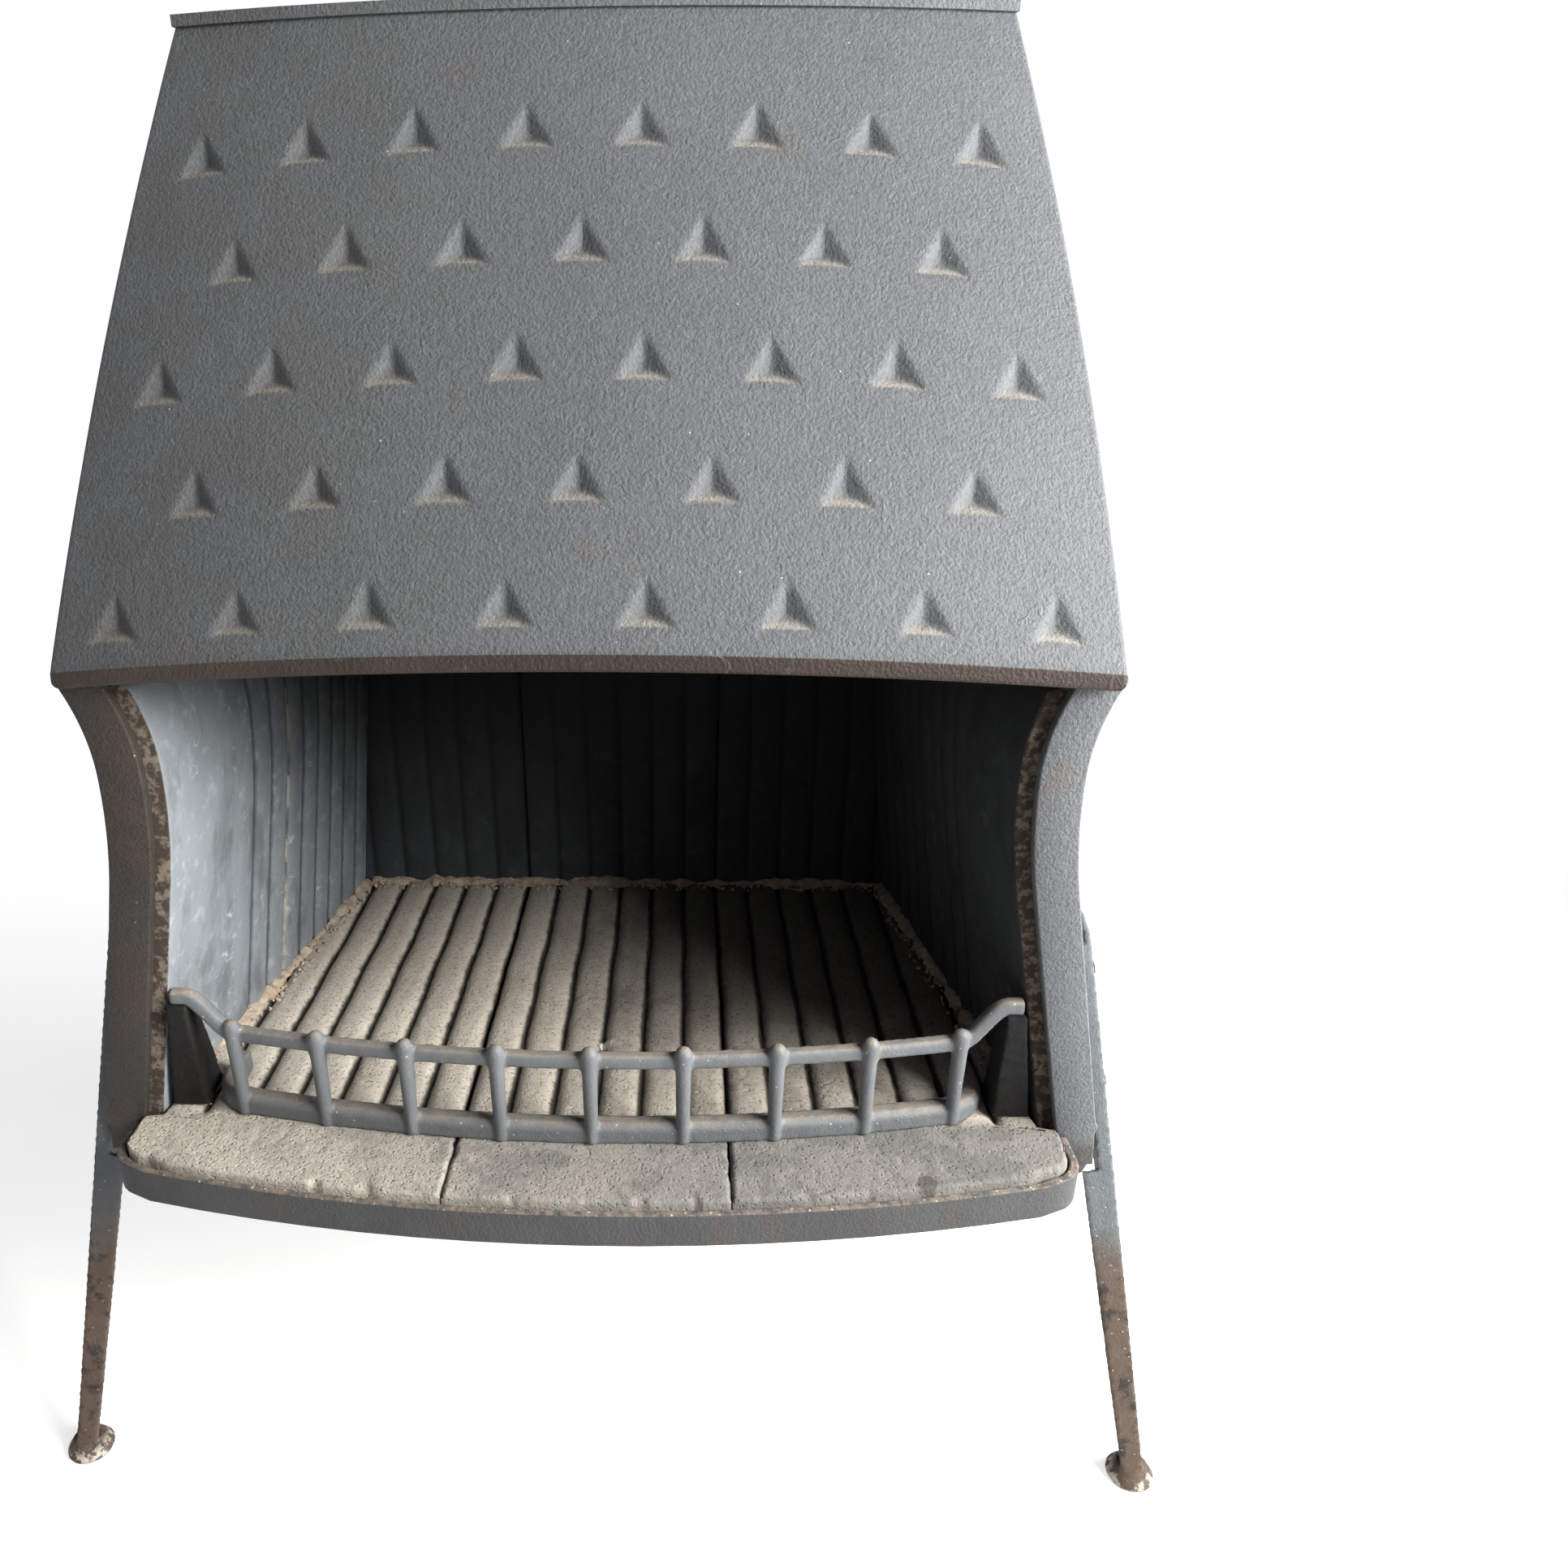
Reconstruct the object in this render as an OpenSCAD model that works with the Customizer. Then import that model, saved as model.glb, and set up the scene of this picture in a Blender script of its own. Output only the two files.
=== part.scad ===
// Free-standing cast-iron open stove: a bowed, dented hood over a firebrick-lined hearth,
// with a lift-out fender, on four splayed legs. Millimetres, +Z up, front faces -Y,
// origin on the floor under the middle of the object.

/* [Hearth] */
// Height of the hearth surface above the floor
hearth_h = 350; // [300:5:420]
// Distance from the tray's front to the bolt heads on the back
body_d = 566; // [540:2:640]
// Thickness of the hearth tiles
hearth_tile_t = 28; // [22:1:36]
// Radius of the bow of the tray, the hearth and the hood, in plan
bow_r = 1450; // [1200:10:2000]
// Half of the tray's width where it meets the cheeks
tray_half_w = 361; // [355:1:368]
// Height that the hearth tiles stand above the tray's rim
hearth_proud = 6; // [3:1:10]
// Thickness of the tray's rim and floor
tray_t = 6; // [5:0.5:8]

/* [Cheeks] */
// Height of the cheeks above the hearth
cheek_h = 352; // [330:1:420]
// Half of the width across the cheeks at the hearth, in front
cheek_half_w = 383; // [378:1:400]
// Half of the width across the cheeks at the hearth, at the back
cheek_back_half_w = 321; // [300:1:330]
// Height of the cheeks' waist above the hearth
waist_h = 282; // [260:1:300]
// Radius of the cheeks' flare above the waist
flare_r = 145; // [130:5:200]
// Lean of the lower cheeks, in mm for each mm of height
cheek_lean = 0.208; // [0.18:0.002:0.22]
// Lean of the back edges of the sides, in mm for each mm of height
back_lean = 0.111; // [0.09:0.001:0.13]
// Wall thickness of the castings
wall = 7; // [5:0.5:8]
// Width of the front flanges
flange_w = 31; // [26:1:34]

/* [Lining] */
// Thickness of the side tiles
side_tile_t = 32; // [26:1:36]
// Gap between the side tiles and the cheeks
lining_gap = 1.6; // [1.2:0.1:3]
// Thickness of the back tiles
back_tile_t = 20; // [16:1:24]
// Spacing of the ribs of the lining and of the hearth
rib_pitch = 34.4; // [30:0.2:38]
// Depth of the grooves of the hearth
hearth_groove = 7; // [4:0.5:9]
// Depth of the grooves of the walls
wall_groove = 3.5; // [2:0.5:6]

/* [Hood] */
// Half of the hood's width at its lip
hood_half_w = 351; // [345:1:356]
// Half of the hood's width at its top
hood_top_half_w = 289; // [270:1:310]
// Outward bow of the hood's side edges
hood_edge_bow = 7.5; // [0:0.5:12]
// Length of the hood's front plate, up its slope
hood_len = 440; // [400:5:480]
// Lean of the hood's front plate from upright
hood_lean = 31.6; // [28:0.2:34]
// Half of the hood's width at the back of its top
hood_back_half_w = 240; // [235:1:244]
// Thickness of the hood's plates
hood_t = 7; // [6:0.5:8]
// Height of the upright lip under the hood's front plate
lip_h = 10; // [8:0.5:11]
// Depth of the three-sided dents in the hood's front plate
dent_depth = 4.5; // [3:0.5:5]
// Width of a dent
dent_w = 34; // [28:1:38]
// Height of a dent, along the plate
dent_h = 31; // [26:1:36]
// Spacing of the rows of dents
dent_row = 79.8; // [70:0.2:85]
// Spacing of the dents in the lowest row
dent_pitch = 86.4; // [80:0.2:90]

/* [Flue] */
// Inner radius of the flue collar
flue_r = 72; // [60:1:85]
// Height of the flue collar
flue_h = 60; // [40:5:90]

/* [Fender] */
// Spacing of the fender's bars
bar_pitch = 68.5; // [60:0.5:72]
// Height of the fender's bars
bar_h = 84; // [70:1:100]
// Diameter of the bars at their tops
bar_d = 12; // [10:0.5:16]
// Radius of the fender's bow
fender_r = 1250; // [1000:10:1600]

/* [Legs] */
// Width of the legs' flat faces
leg_face = 20; // [16:1:26]
// Depth of the legs' webs at the hearth
leg_web = 44; // [36:1:50]
// Thickness of the legs
leg_t = 5; // [4:0.5:7]
// Radius of the feet
foot_r = 20; // [16:1:24]

/* [Fasteners] */
// Shank diameter of the bolts
bolt_d = 8; // [6:1:8]
// Height of the bolt heads
bolt_head_h = 5.5; // [4:0.5:7]

/* [Hidden] */
$fn = 64;
fit = 0.3;                                  // gap between parts that lie side by side
seam = 1;                                   // gap that fire cement would fill
hole_clear = 0.2;                           // radial clearance of a bolt in its hole
front_y = -body_d / 2;
back_y = body_d / 2 - bolt_head_h;          // rear face of the back plate
back_in_y = back_y - wall;                  // front face of the back plate
back_face_y = back_in_y - wall - fit - back_tile_t;   // fire face of the back lining
flange_y = front_y + 97;                    // front face of the cheeks' flanges
flange_t = 9;
back_flange = 28;                           // width of the sides' flanges behind the back plate
lining_y = flange_y + flange_t + fit;       // front end of the side lining
tile_joint_y = back_face_y - 6 * rib_pitch; // joint between two side tiles
cheek_top = hearth_h + cheek_h;
cheek_steps = 16;
tray_z = hearth_h - hearth_tile_t - fit - tray_t;
lining_z = tray_z + tray_t + fit;
lining_top = cheek_top - 8;
lip_y = front_y + 51.5;                     // middle of the hood's lip
lip_z = cheek_top + 22;
hood_top_z = lip_z + hood_len * cos(hood_lean);
flue_y = 145;
collar_t = 7;
collar_wall = 6;
collar_flange = 28;
bore_r = bolt_d / 2 + hole_clear;
centre_tile_half = 3 * rib_pitch;           // half of the width of the middle tiles
ledge_y = flange_y + 2;                     // where the hearth's ribs begin
fender_y = front_y + 71;                    // front of the fender's bottom rail
rail_top_z = hearth_h + bar_h - 18;
skirt_h = 43;
leg_splay = 11.3;
rear_leg_splay = 7;
leg_rake = 7.2;
leg_len_up = 165;
head_flats = bolt_d * 1.62;

// ---- helpers ----

function mix(a, b, t) = a + (b - a) * t;

// Solid through a stack of rings of points, each ring counter-clockwise from above.
module loft(rings) {
  n = len(rings[0]);
  m = len(rings);
  polyhedron(
    points = [for (r = rings, p = r) p],
    faces = concat(
      [[for (j = [0:n - 1]) j], [for (j = [n - 1:-1:0]) (m - 1) * n + j]],
      [for (i = [0:m - 2], j = [0:n - 1])
        [i * n + j, (i + 1) * n + j, (i + 1) * n + (j + 1) % n]],
      [for (i = [0:m - 2], j = [0:n - 1])
        [i * n + j, (i + 1) * n + (j + 1) % n, i * n + (j + 1) % n]]));
}

// Levels from one height to another.
function levels(a, b, n) = [for (i = [0:n]) mix(a, b, i / n)];

// Depth of a ribbed face at a distance along it: 0 on a crown, deep in the narrow grooves.
function rib_dip(u, depth) = depth * pow(abs(2 * (u / rib_pitch - floor(u / rib_pitch)) - 1), 3.2);
rib_steps = 8;

// Half of the width across the cheeks in front, at a height over the hearth: a straight lean
// that turns into a waist and flares out again under the hood.
lower_r = 420;
lower_turn = lower_r * sin(atan(cheek_lean));
function flare(z) =
  z > waist_h ? flare_r - sqrt(pow(flare_r, 2) - pow(z - waist_h, 2))
  : z > waist_h - lower_turn ? lower_r - sqrt(pow(lower_r, 2) - pow(z - waist_h, 2))
  : lower_r - sqrt(pow(lower_r, 2) - pow(lower_turn, 2)) + (waist_h - lower_turn - z) * cheek_lean;
waist_half_w = cheek_half_w - flare(0);
function cheek_front(z) = waist_half_w + flare(z);
function flange_in(z) = cheek_front(z) - flange_w;
cheek_levels = levels(tray_z - hearth_h, cheek_h, cheek_steps);
lining_levels = concat([lining_z - hearth_h],
  [for (z = cheek_levels) if (z > lining_z - hearth_h + 1 && z < lining_top - hearth_h - 1) z],
  [lining_top - hearth_h]);
function cheek_x(y, z) =
  mix(cheek_front(z), cheek_back_half_w - back_lean * z, (y - flange_y) / (back_in_y - flange_y));
function tile_back_x(y, z) = cheek_x(y, z) - wall - lining_gap;
function lining_x(y, z) = tile_back_x(y, z) - side_tile_t;

// The hood's front plate, in its own frame: s runs up the slope and n stands out from it.
function bow(x) = bow_r - sqrt(bow_r * bow_r - x * x);
function hood_half(s) = mix(hood_half_w, hood_top_half_w, s / hood_len)
  + hood_edge_bow * 4 * (s / hood_len) * (1 - s / hood_len);
function hood_s(x, z, depth) = (z - lip_z + (bow(x) + depth) * sin(hood_lean)) / cos(hood_lean);
function hood_y(x, z, depth) =
  lip_y + hood_s(x, z, depth) * sin(hood_lean) + (bow(x) + depth) * cos(hood_lean);
function hood_edge_x(z) = hood_half(hood_s(hood_half_w - 30, z, 0));

// A hexagon-headed bolt along -Z under its head, which sits on z = 0.
module bolt(length) {
  cylinder(d = head_flats / cos(30), h = bolt_head_h, $fn = 6);
  translate([0, 0, -length]) cylinder(d = bolt_d, h = length + 1);
}

module nut() {
  difference() {
    cylinder(d = head_flats / cos(30), h = bolt_head_h, $fn = 6);
    translate([0, 0, -1]) cylinder(r = bore_r, h = bolt_head_h + 2);
  }
}

module mirrored() {
  children();
  mirror([1, 0, 0]) children();
}

// ---- hood ----

hood_bolt_s = [70, 330];                    // where the front plate's lugs are, up its slope
lug = 20;
lip_turn = 4;                               // where the lip turns down, up the slope
lip_t = 3;
lip_taper = 8;                              // the lip's ends draw in below the plate
dent_clear = 1;                             // how far a dent's cutter stands out in front

module in_hood_frame() {
  translate([0, lip_y, lip_z]) rotate([-hood_lean, 0, 0]) children();
}

// Three-sided dent, deepest at its middle, cut from in front of the plate.
module dent(x, s) {
  half = dent_w / 2;
  grow = 1 + dent_clear / dent_depth;
  root = bow(x);
  polyhedron(
    points = [[x - half * grow, bow(x - half) - dent_clear, s + dent_h / 3 * (1 - grow)],
      [x + half * grow, bow(x + half) - dent_clear, s + dent_h / 3 * (1 - grow)],
      [x, root - dent_clear, s + dent_h / 3 + dent_h * 2 / 3 * grow],
      [x, root + dent_depth, s + dent_h / 3]],
    faces = [[0, 2, 1], [0, 1, 3], [1, 2, 3], [2, 0, 3]]);
}

module hood_front() color([0.30, 0.32, 0.34]) {
  difference() {
    union() {
      intersection() {
        in_hood_frame() intersection() {
          translate([0, bow_r, 0]) rotate_extrude($fn = 360) translate([bow_r, 0]) hood_profile();
          rotate([90, 0, 0]) linear_extrude(300, center = true) polygon(concat(
            [[hood_half_w - lip_taper, -lip_h]],
            [for (s = levels(0, hood_len * 1.1, 12)) [hood_half(s), s]],
            [for (s = levels(hood_len * 1.1, 0, 12)) [-hood_half(s), s]],
            [[lip_taper - hood_half_w, -lip_h]]));
        }
        translate([-500, -500, 0]) cube([1000, 1000, hood_top_z]);
      }
      hood_lugs();
    }
    hood_bolt_places() translate([0, 0, -60]) cylinder(r = bore_r, h = 80);
    in_hood_frame() for (row = [0:4]) {
      count = 8 - row % 2;
      pitch = dent_pitch - 3.05 * row;
      for (i = [0:count - 1]) dent((i - (count - 1) / 2) * pitch, 22.5 + row * dent_row);
    }
  }
}

// Section of the front plate, up its slope, with the upright lip its lower edge turns down into.
module hood_profile() {
  down = [-lip_h * sin(hood_lean), lip_turn - lip_h * cos(hood_lean)];
  polygon([[0, lip_turn], down, down + lip_t * [-cos(hood_lean), sin(hood_lean)],
    [-hood_t, lip_turn + 8], [-hood_t, hood_len * 1.1], [0, hood_len * 1.1]]);
}

// Puts its children on the outside of the hood's sides, where the front plate's lugs are.
module hood_bolt_places() {
  mirrored() for (s = hood_bolt_s) {
    x = hood_half(s);
    z = lip_z + s * cos(hood_lean) - bow(x) * sin(hood_lean);
    y = hood_y(x - 14, z, hood_t) + 16;
    translate([hood_side_x(y, z), y, z]) rotate([0, 0, toe_angle]) rotate([0, 90 - rise_angle, 0])
      children();
  }
}

module hood_lugs() {
  intersection() {
    hood_bolt_places() translate([-lug / 2, -40, -hood_t - fit - 10]) cube([lug, 52, 10]);
    in_hood_frame() translate([0, bow_r, -50]) cylinder(r = bow_r - hood_t / 2, h = 700, $fn = 360);
  }
}

// The hood's sides are flat: they stand on the cheeks and lean and toe in to the back plate.
side_low_x = cheek_x(back_in_y, cheek_h);
side_rise = (side_low_x - hood_back_half_w) / (hood_top_z - cheek_top);
side_toe = (cheek_front(cheek_h) - 2 - side_low_x) / (back_in_y - flange_y);
toe_angle = atan(side_toe);
rise_angle = atan(side_rise * cos(toe_angle));
function hood_side_x(y, z) =
  side_low_x - side_rise * (z - cheek_top) + side_toe * (back_in_y - y);
function hood_side_front(z) = hood_y(hood_edge_x(z) - 2, z, hood_t) + 2 * fit;

top_lug_y = [70, 235];

// Puts its children on the plane of a hood side's outer face, which faces their +X.
module on_hood_side() {
  translate([side_low_x, back_in_y, cheek_top]) rotate([0, 0, toe_angle])
    rotate([0, -rise_angle, 0]) children();
}

module hood_side() {
  difference() {
    union() {
      intersection() {
        on_hood_side() translate([-hood_t, -600, -100]) cube([hood_t, 700, 600]);
        rotate([90, 0, 90]) linear_extrude(500) polygon(concat(
          [for (z = levels(cheek_top, hood_top_z, 10)) [hood_side_front(z), z]],
          [[back_in_y, hood_top_z], [back_in_y, cheek_top]]));
      }
      translate([0, back_in_y, 0]) rotate([90, 0, 0]) linear_extrude(wall) polygon([
        for (p = [[-hood_t / 2, cheek_top], [-hood_t / 2, hood_top_z],
          [-back_flange, hood_top_z], [-back_flange, cheek_top]])
        [hood_side_x(back_in_y, p[1]) + p[0], p[1]]]);
      for (y = top_lug_y) translate([hood_side_x(y, hood_top_z) - hood_t - 20, y - 12, hood_top_z - 17])
        cube([23, 24, 16.5]);
    }
    for (y = top_lug_y) translate([hood_side_x(y, hood_top_z) - hood_t - 10, y, hood_top_z - 20])
      cylinder(r = bore_r, h = 30);
  }
}

module hood_side_pair_cuts() {
  hood_bolt_places() translate([0, 0, -20]) cylinder(r = bore_r, h = 40);
  back_bolt_places() translate([0, 0, -40]) cylinder(r = bore_r, h = 60);
}

module hood_side_right() color([0.33, 0.35, 0.37]) difference() {
  hood_side();
  hood_side_pair_cuts();
}

module hood_side_left() color([0.29, 0.31, 0.33]) difference() {
  mirror([1, 0, 0]) hood_side();
  hood_side_pair_cuts();
}

top_t = 7;
top_over = 3;

module hood_top() color([0.28, 0.30, 0.32]) difference() {
  translate([0, 0, hood_top_z]) linear_extrude(top_t) polygon(concat(
    [for (x = levels(-hood_edge_x(hood_top_z) - top_over, hood_edge_x(hood_top_z) + top_over, 16))
      [x, hood_y(x, hood_top_z, 0) - top_over]],
    [[hood_back_half_w + top_over, back_y], [-hood_back_half_w - top_over, back_y]]));
  translate([0, flue_y, hood_top_z - 1]) cylinder(r = flue_r, h = top_t + 2, $fn = 96);
  collar_bolt_places() translate([0, 0, -30]) cylinder(r = bore_r, h = 40);
  top_bolt_places() translate([0, 0, -30]) cylinder(r = bore_r, h = 40);
}

module flue_collar() color([0.26, 0.27, 0.28]) difference() {
  translate([0, flue_y, hood_top_z + top_t]) rotate_extrude($fn = 96) polygon([
    [flue_r, 0], [flue_r + collar_flange, 0], [flue_r + collar_flange, collar_t],
    [flue_r + collar_wall + 5, collar_t], [flue_r + collar_wall, collar_t + 6],
    [flue_r + collar_wall, flue_h - 6], [flue_r + collar_wall + 3, flue_h - 6],
    [flue_r + collar_wall + 3, flue_h], [flue_r, flue_h]]);
  collar_bolt_places() translate([0, 0, -30]) cylinder(r = bore_r, h = 40);
}

module collar_bolt_places() {
  for (a = [45:90:315]) translate([0, flue_y, hood_top_z + top_t + collar_t]) rotate([0, 0, a])
    translate([flue_r + collar_wall + 13, 0, 0]) children();
}

module top_bolt_places() {
  mirrored() for (y = top_lug_y)
    translate([hood_side_x(y, hood_top_z) - hood_t - 10, y, hood_top_z + top_t]) children();
}

// ---- back ----

back_bolt_z = [40, 170, 300, 420, 560, 690];   // heights over the hearth

module back_bolt_places() {
  mirrored() for (z = back_bolt_z) {
    edge = hearth_h + z < cheek_top ? cheek_x(back_in_y, z) : hood_side_x(back_in_y, hearth_h + z);
    translate([edge - 17, back_y, hearth_h + z]) rotate([-90, 0, 0]) children();
  }
}

module back_plate() color([0.25, 0.24, 0.23]) difference() {
  translate([0, back_y, 0]) rotate([90, 0, 0]) linear_extrude(wall) polygon(concat(
    [[cheek_x(back_in_y, tray_z - hearth_h), tray_z], [cheek_x(back_in_y, cheek_h), cheek_top],
      [hood_back_half_w, hood_top_z], [-hood_back_half_w, hood_top_z],
      [-cheek_x(back_in_y, cheek_h), cheek_top], [-cheek_x(back_in_y, tray_z - hearth_h), tray_z]]));
  back_bolt_places() translate([0, 0, -40]) cylinder(r = bore_r, h = 60);
}

// ---- cheeks ----

module cheek() {
  loft([for (z = cheek_levels)
    let (a = flange_y, b = back_in_y, in = flange_in(z))
    [[cheek_front(z), a, hearth_h + z], [cheek_x(b, z), b, hearth_h + z],
      [cheek_x(b, z) - back_flange, b, hearth_h + z], [cheek_x(b, z) - back_flange, b - wall, hearth_h + z],
      [cheek_x(b - wall, z) - wall, b - wall, hearth_h + z],
      [cheek_x(a + flange_t, z) - wall, a + flange_t, hearth_h + z],
      [in, a + flange_t, hearth_h + z], [in, a, hearth_h + z]]]);
  loft([for (k = [0, 1])
    let (z = mix(hearth_h - skirt_h, tray_z + 1, k), out = cheek_front(0) - mix(5, 1, k),
      in = flange_in(0) + mix(14, 3, k))
    [[in, flange_y + 1, z], [out, flange_y + 1, z], [out, flange_y + 16, z], [in, flange_y + 16, z]]]);
}

module cheek_cuts() {
  back_bolt_places() translate([0, 0, -40]) cylinder(r = bore_r, h = 60);
  leg_bolt_places() translate([0, 0, -40]) cylinder(r = bore_r, h = 42);
}

module cheek_right() color([0.36, 0.38, 0.40]) difference() {
  cheek();
  cheek_cuts();
}

module cheek_left() color([0.33, 0.30, 0.28]) difference() {
  mirror([1, 0, 0]) cheek();
  cheek_cuts();
}

// ---- tray and tiles ----

// Plan of the tray or of the ledge inside it: a bowed front with rounded corners.
function ledge_plan(inset, corner) =
  let (half = tray_half_w - inset, y0 = front_y + inset,
    c = half - corner, cy = y0 + bow(c) + corner + 4)
  concat([for (x = levels(-c + 6, c - 6, 16)) [x, y0 + bow(x)]],
    [for (a = [-70:14:0]) [c + corner * cos(a), cy + corner * sin(a)]],
    [[half, flange_y - fit], [-half, flange_y - fit]],
    [for (a = [180:14:250]) [-c + corner * cos(a), cy + corner * sin(a)]]);

tray_rim_top = hearth_h - hearth_proud;
neck_half = flange_in(0) - 2;                // the tray passes between the cheeks' skirts here
neck_y = flange_y + 18;

module tray_plan() {
  polygon(ledge_plan(0, 26));
  polygon([[-neck_half, flange_y - 5], [neck_half, flange_y - 5], [neck_half, neck_y],
    [-neck_half, neck_y]]);
  polygon([for (m = [1, -1], y = m > 0 ? [neck_y, back_in_y - fit] : [back_in_y - fit, neck_y])
    [m * (cheek_x(y, tray_z + tray_t - hearth_h) - wall - lining_gap), y]]);
}

module base_tray() color([0.30, 0.29, 0.28]) {
  translate([0, 0, tray_z]) linear_extrude(tray_t) difference() {
    tray_plan();
    for (m = [1, -1]) translate([m * (cheek_x(back_in_y, 0) - 8), back_in_y - wall / 2])
      square([2 * back_flange, wall + 2], center = true);
  }
  translate([0, 0, tray_z]) linear_extrude(tray_rim_top - tray_z) difference() {
    polygon(ledge_plan(0, 26));
    polygon(ledge_plan(tray_t, 24));
    translate([-tray_half_w + tray_t, flange_y - 20]) square([2 * (tray_half_w - tray_t), 30]);
  }
}

// Plan of the whole hearth surface, inside the rim and between the side tiles.
module hearth_plan() {
  polygon(ledge_plan(tray_t + 1.5, 22));
  polygon([for (m = [1, -1], y = m > 0 ? [flange_y - 30, lining_y, back_face_y - seam]
      : [back_face_y - seam, lining_y, flange_y - 30])
    [m * (lining_x(max(y, lining_y), 0) - seam), y]]);
}

module rib_profile(half_w) {
  steps = ceil(half_w / rib_pitch) * rib_steps;
  polygon(concat([[half_w, 0], [half_w, hearth_tile_t - rib_dip(half_w, hearth_groove)]],
    [for (i = [steps:-1:-steps]) let (x = i * rib_pitch / rib_steps) if (abs(x) < half_w)
      [x, hearth_tile_t - rib_dip(x, hearth_groove)]],
    [[-half_w, hearth_tile_t - rib_dip(half_w, hearth_groove)], [-half_w, 0]]));
}

module hearth_tile(x0, x1) {
  z0 = hearth_h - hearth_tile_t;
  intersection() {
    union() {
      translate([0, 0, z0]) linear_extrude(hearth_tile_t) intersection() {
        hearth_plan();
        translate([x0, front_y]) square([x1 - x0, ledge_y - front_y]);
      }
      intersection() {
        translate([0, back_y, z0]) rotate([90, 0, 0]) linear_extrude(back_y - ledge_y + 1)
          rib_profile(cheek_half_w);
        translate([0, 0, z0]) linear_extrude(hearth_tile_t) intersection() {
          hearth_plan();
          translate([x0, ledge_y - 1]) square([x1 - x0, back_y - ledge_y + 1]);
        }
      }
    }
    translate([x0, front_y, z0]) cube([x1 - x0, body_d, hearth_tile_t]);
  }
}

module hearth_tile_left() color([0.60, 0.57, 0.50])
  hearth_tile(-cheek_half_w, -centre_tile_half - seam / 2);
module hearth_tile_centre() color([0.62, 0.58, 0.51])
  hearth_tile(-centre_tile_half + seam / 2, centre_tile_half - seam / 2);
module hearth_tile_right() color([0.58, 0.55, 0.49])
  hearth_tile(centre_tile_half + seam / 2, cheek_half_w);

// A wall tile's ribbed edge, as distances along it, with two points close by each groove.
function rib_marks(a, b) = let (n = max(1, round((b - a) / rib_pitch * rib_steps)))
  [for (i = [0:n]) mix(a, b, i / n)];

module side_tile(y0, y1) {
  loft([for (z = lining_levels)
    concat(
      [for (y = [y1, y0]) [tile_back_x(y, z), y, hearth_h + z]],
      [for (y = rib_marks(y0, y1)) let (u = back_face_y - y)
        [lining_x(y, z) + (u > 9 * rib_pitch ? 0 : rib_dip(u, wall_groove)), y, hearth_h + z]])]);
}

front_tile = [lining_y, tile_joint_y - seam / 2];
rear_tile = [tile_joint_y + seam / 2, back_face_y - fit];

module side_tile_front_right() color([0.42, 0.45, 0.48]) side_tile(front_tile[0], front_tile[1]);
module side_tile_rear_right() color([0.38, 0.41, 0.44]) side_tile(rear_tile[0], rear_tile[1]);
module side_tile_front_left() color([0.55, 0.58, 0.62])
  mirror([1, 0, 0]) side_tile(front_tile[0], front_tile[1]);
module side_tile_rear_left() color([0.50, 0.53, 0.57])
  mirror([1, 0, 0]) side_tile(rear_tile[0], rear_tile[1]);

module back_tile(x0, x1, outer) {
  y1 = back_face_y + back_tile_t;
  loft([for (z = levels(lining_z - hearth_h, lining_top - hearth_h, 4))
    let (edge = outer ? tile_back_x(y1, z) : x1)
    concat([for (x = rib_marks(x0, x1)) [x, back_face_y + rib_dip(x, wall_groove), hearth_h + z]],
      outer ? [[edge, back_face_y, hearth_h + z]] : [],
      [[edge, y1, hearth_h + z], [x0, y1, hearth_h + z]])]);
}

back_edge = tile_back_x(back_in_y, lining_top - hearth_h) - 2;

module back_tile_centre() color([0.30, 0.30, 0.31])
  back_tile(-centre_tile_half + seam / 2, centre_tile_half - seam / 2, false);
module back_tile_right() color([0.28, 0.28, 0.29]) back_tile(centre_tile_half + seam / 2, back_edge, true);
module back_tile_left() color([0.36, 0.36, 0.37])
  mirror([1, 0, 0]) back_tile(centre_tile_half + seam / 2, back_edge, true);

// ---- fire cement ----

bead_w = 11;
function crumble(u) = bead_w * (0.8 + 0.22 * sin(u * 7.3) + 0.14 * sin(u * 19.7 + 40));

module side_bead() {
  n = 26;
  y_start = lining_y + 70;
  translate([0, 0, hearth_h + fit]) mirror([0, 1, 0]) rotate([90, 0, 0])
    loft([for (y = levels(y_start, back_face_y - 6, n))
      let (x = lining_x(y, 0) - fit, w = crumble(y))
      [[x - w, -0, y], [x, 0, y], [x - 0.22 * w, w, y], [x - w * 0.7, w * 0.5, y]]]);
}

module back_bead() {
  n = 40;
  half = lining_x(back_face_y, 0) - 14;
  translate([0, back_face_y - fit, hearth_h + fit]) rotate([0, 90, 0])
    loft([for (x = levels(-half, half, n)) let (w = crumble(x * 1.7 + 11) * 0.9)
      [[0, 0, x], [-w, 0, x], [-w * 0.5, -w * 0.7, x], [0, -w, x]]]);
}

module cement_left() color([0.74, 0.66, 0.56]) mirror([1, 0, 0]) side_bead();
module cement_right() color([0.70, 0.63, 0.54]) side_bead();
module cement_back() color([0.66, 0.60, 0.52]) back_bead();

// ---- fender ----

fender_half = 4 * bar_pitch;
rail_w = 13;
rail_h = 16;
top_rail_w = 9;
top_rail_h = 10;
hook_rise = 32;
function fender_bow(x) = fender_r - sqrt(fender_r * fender_r - x * x);

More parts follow.
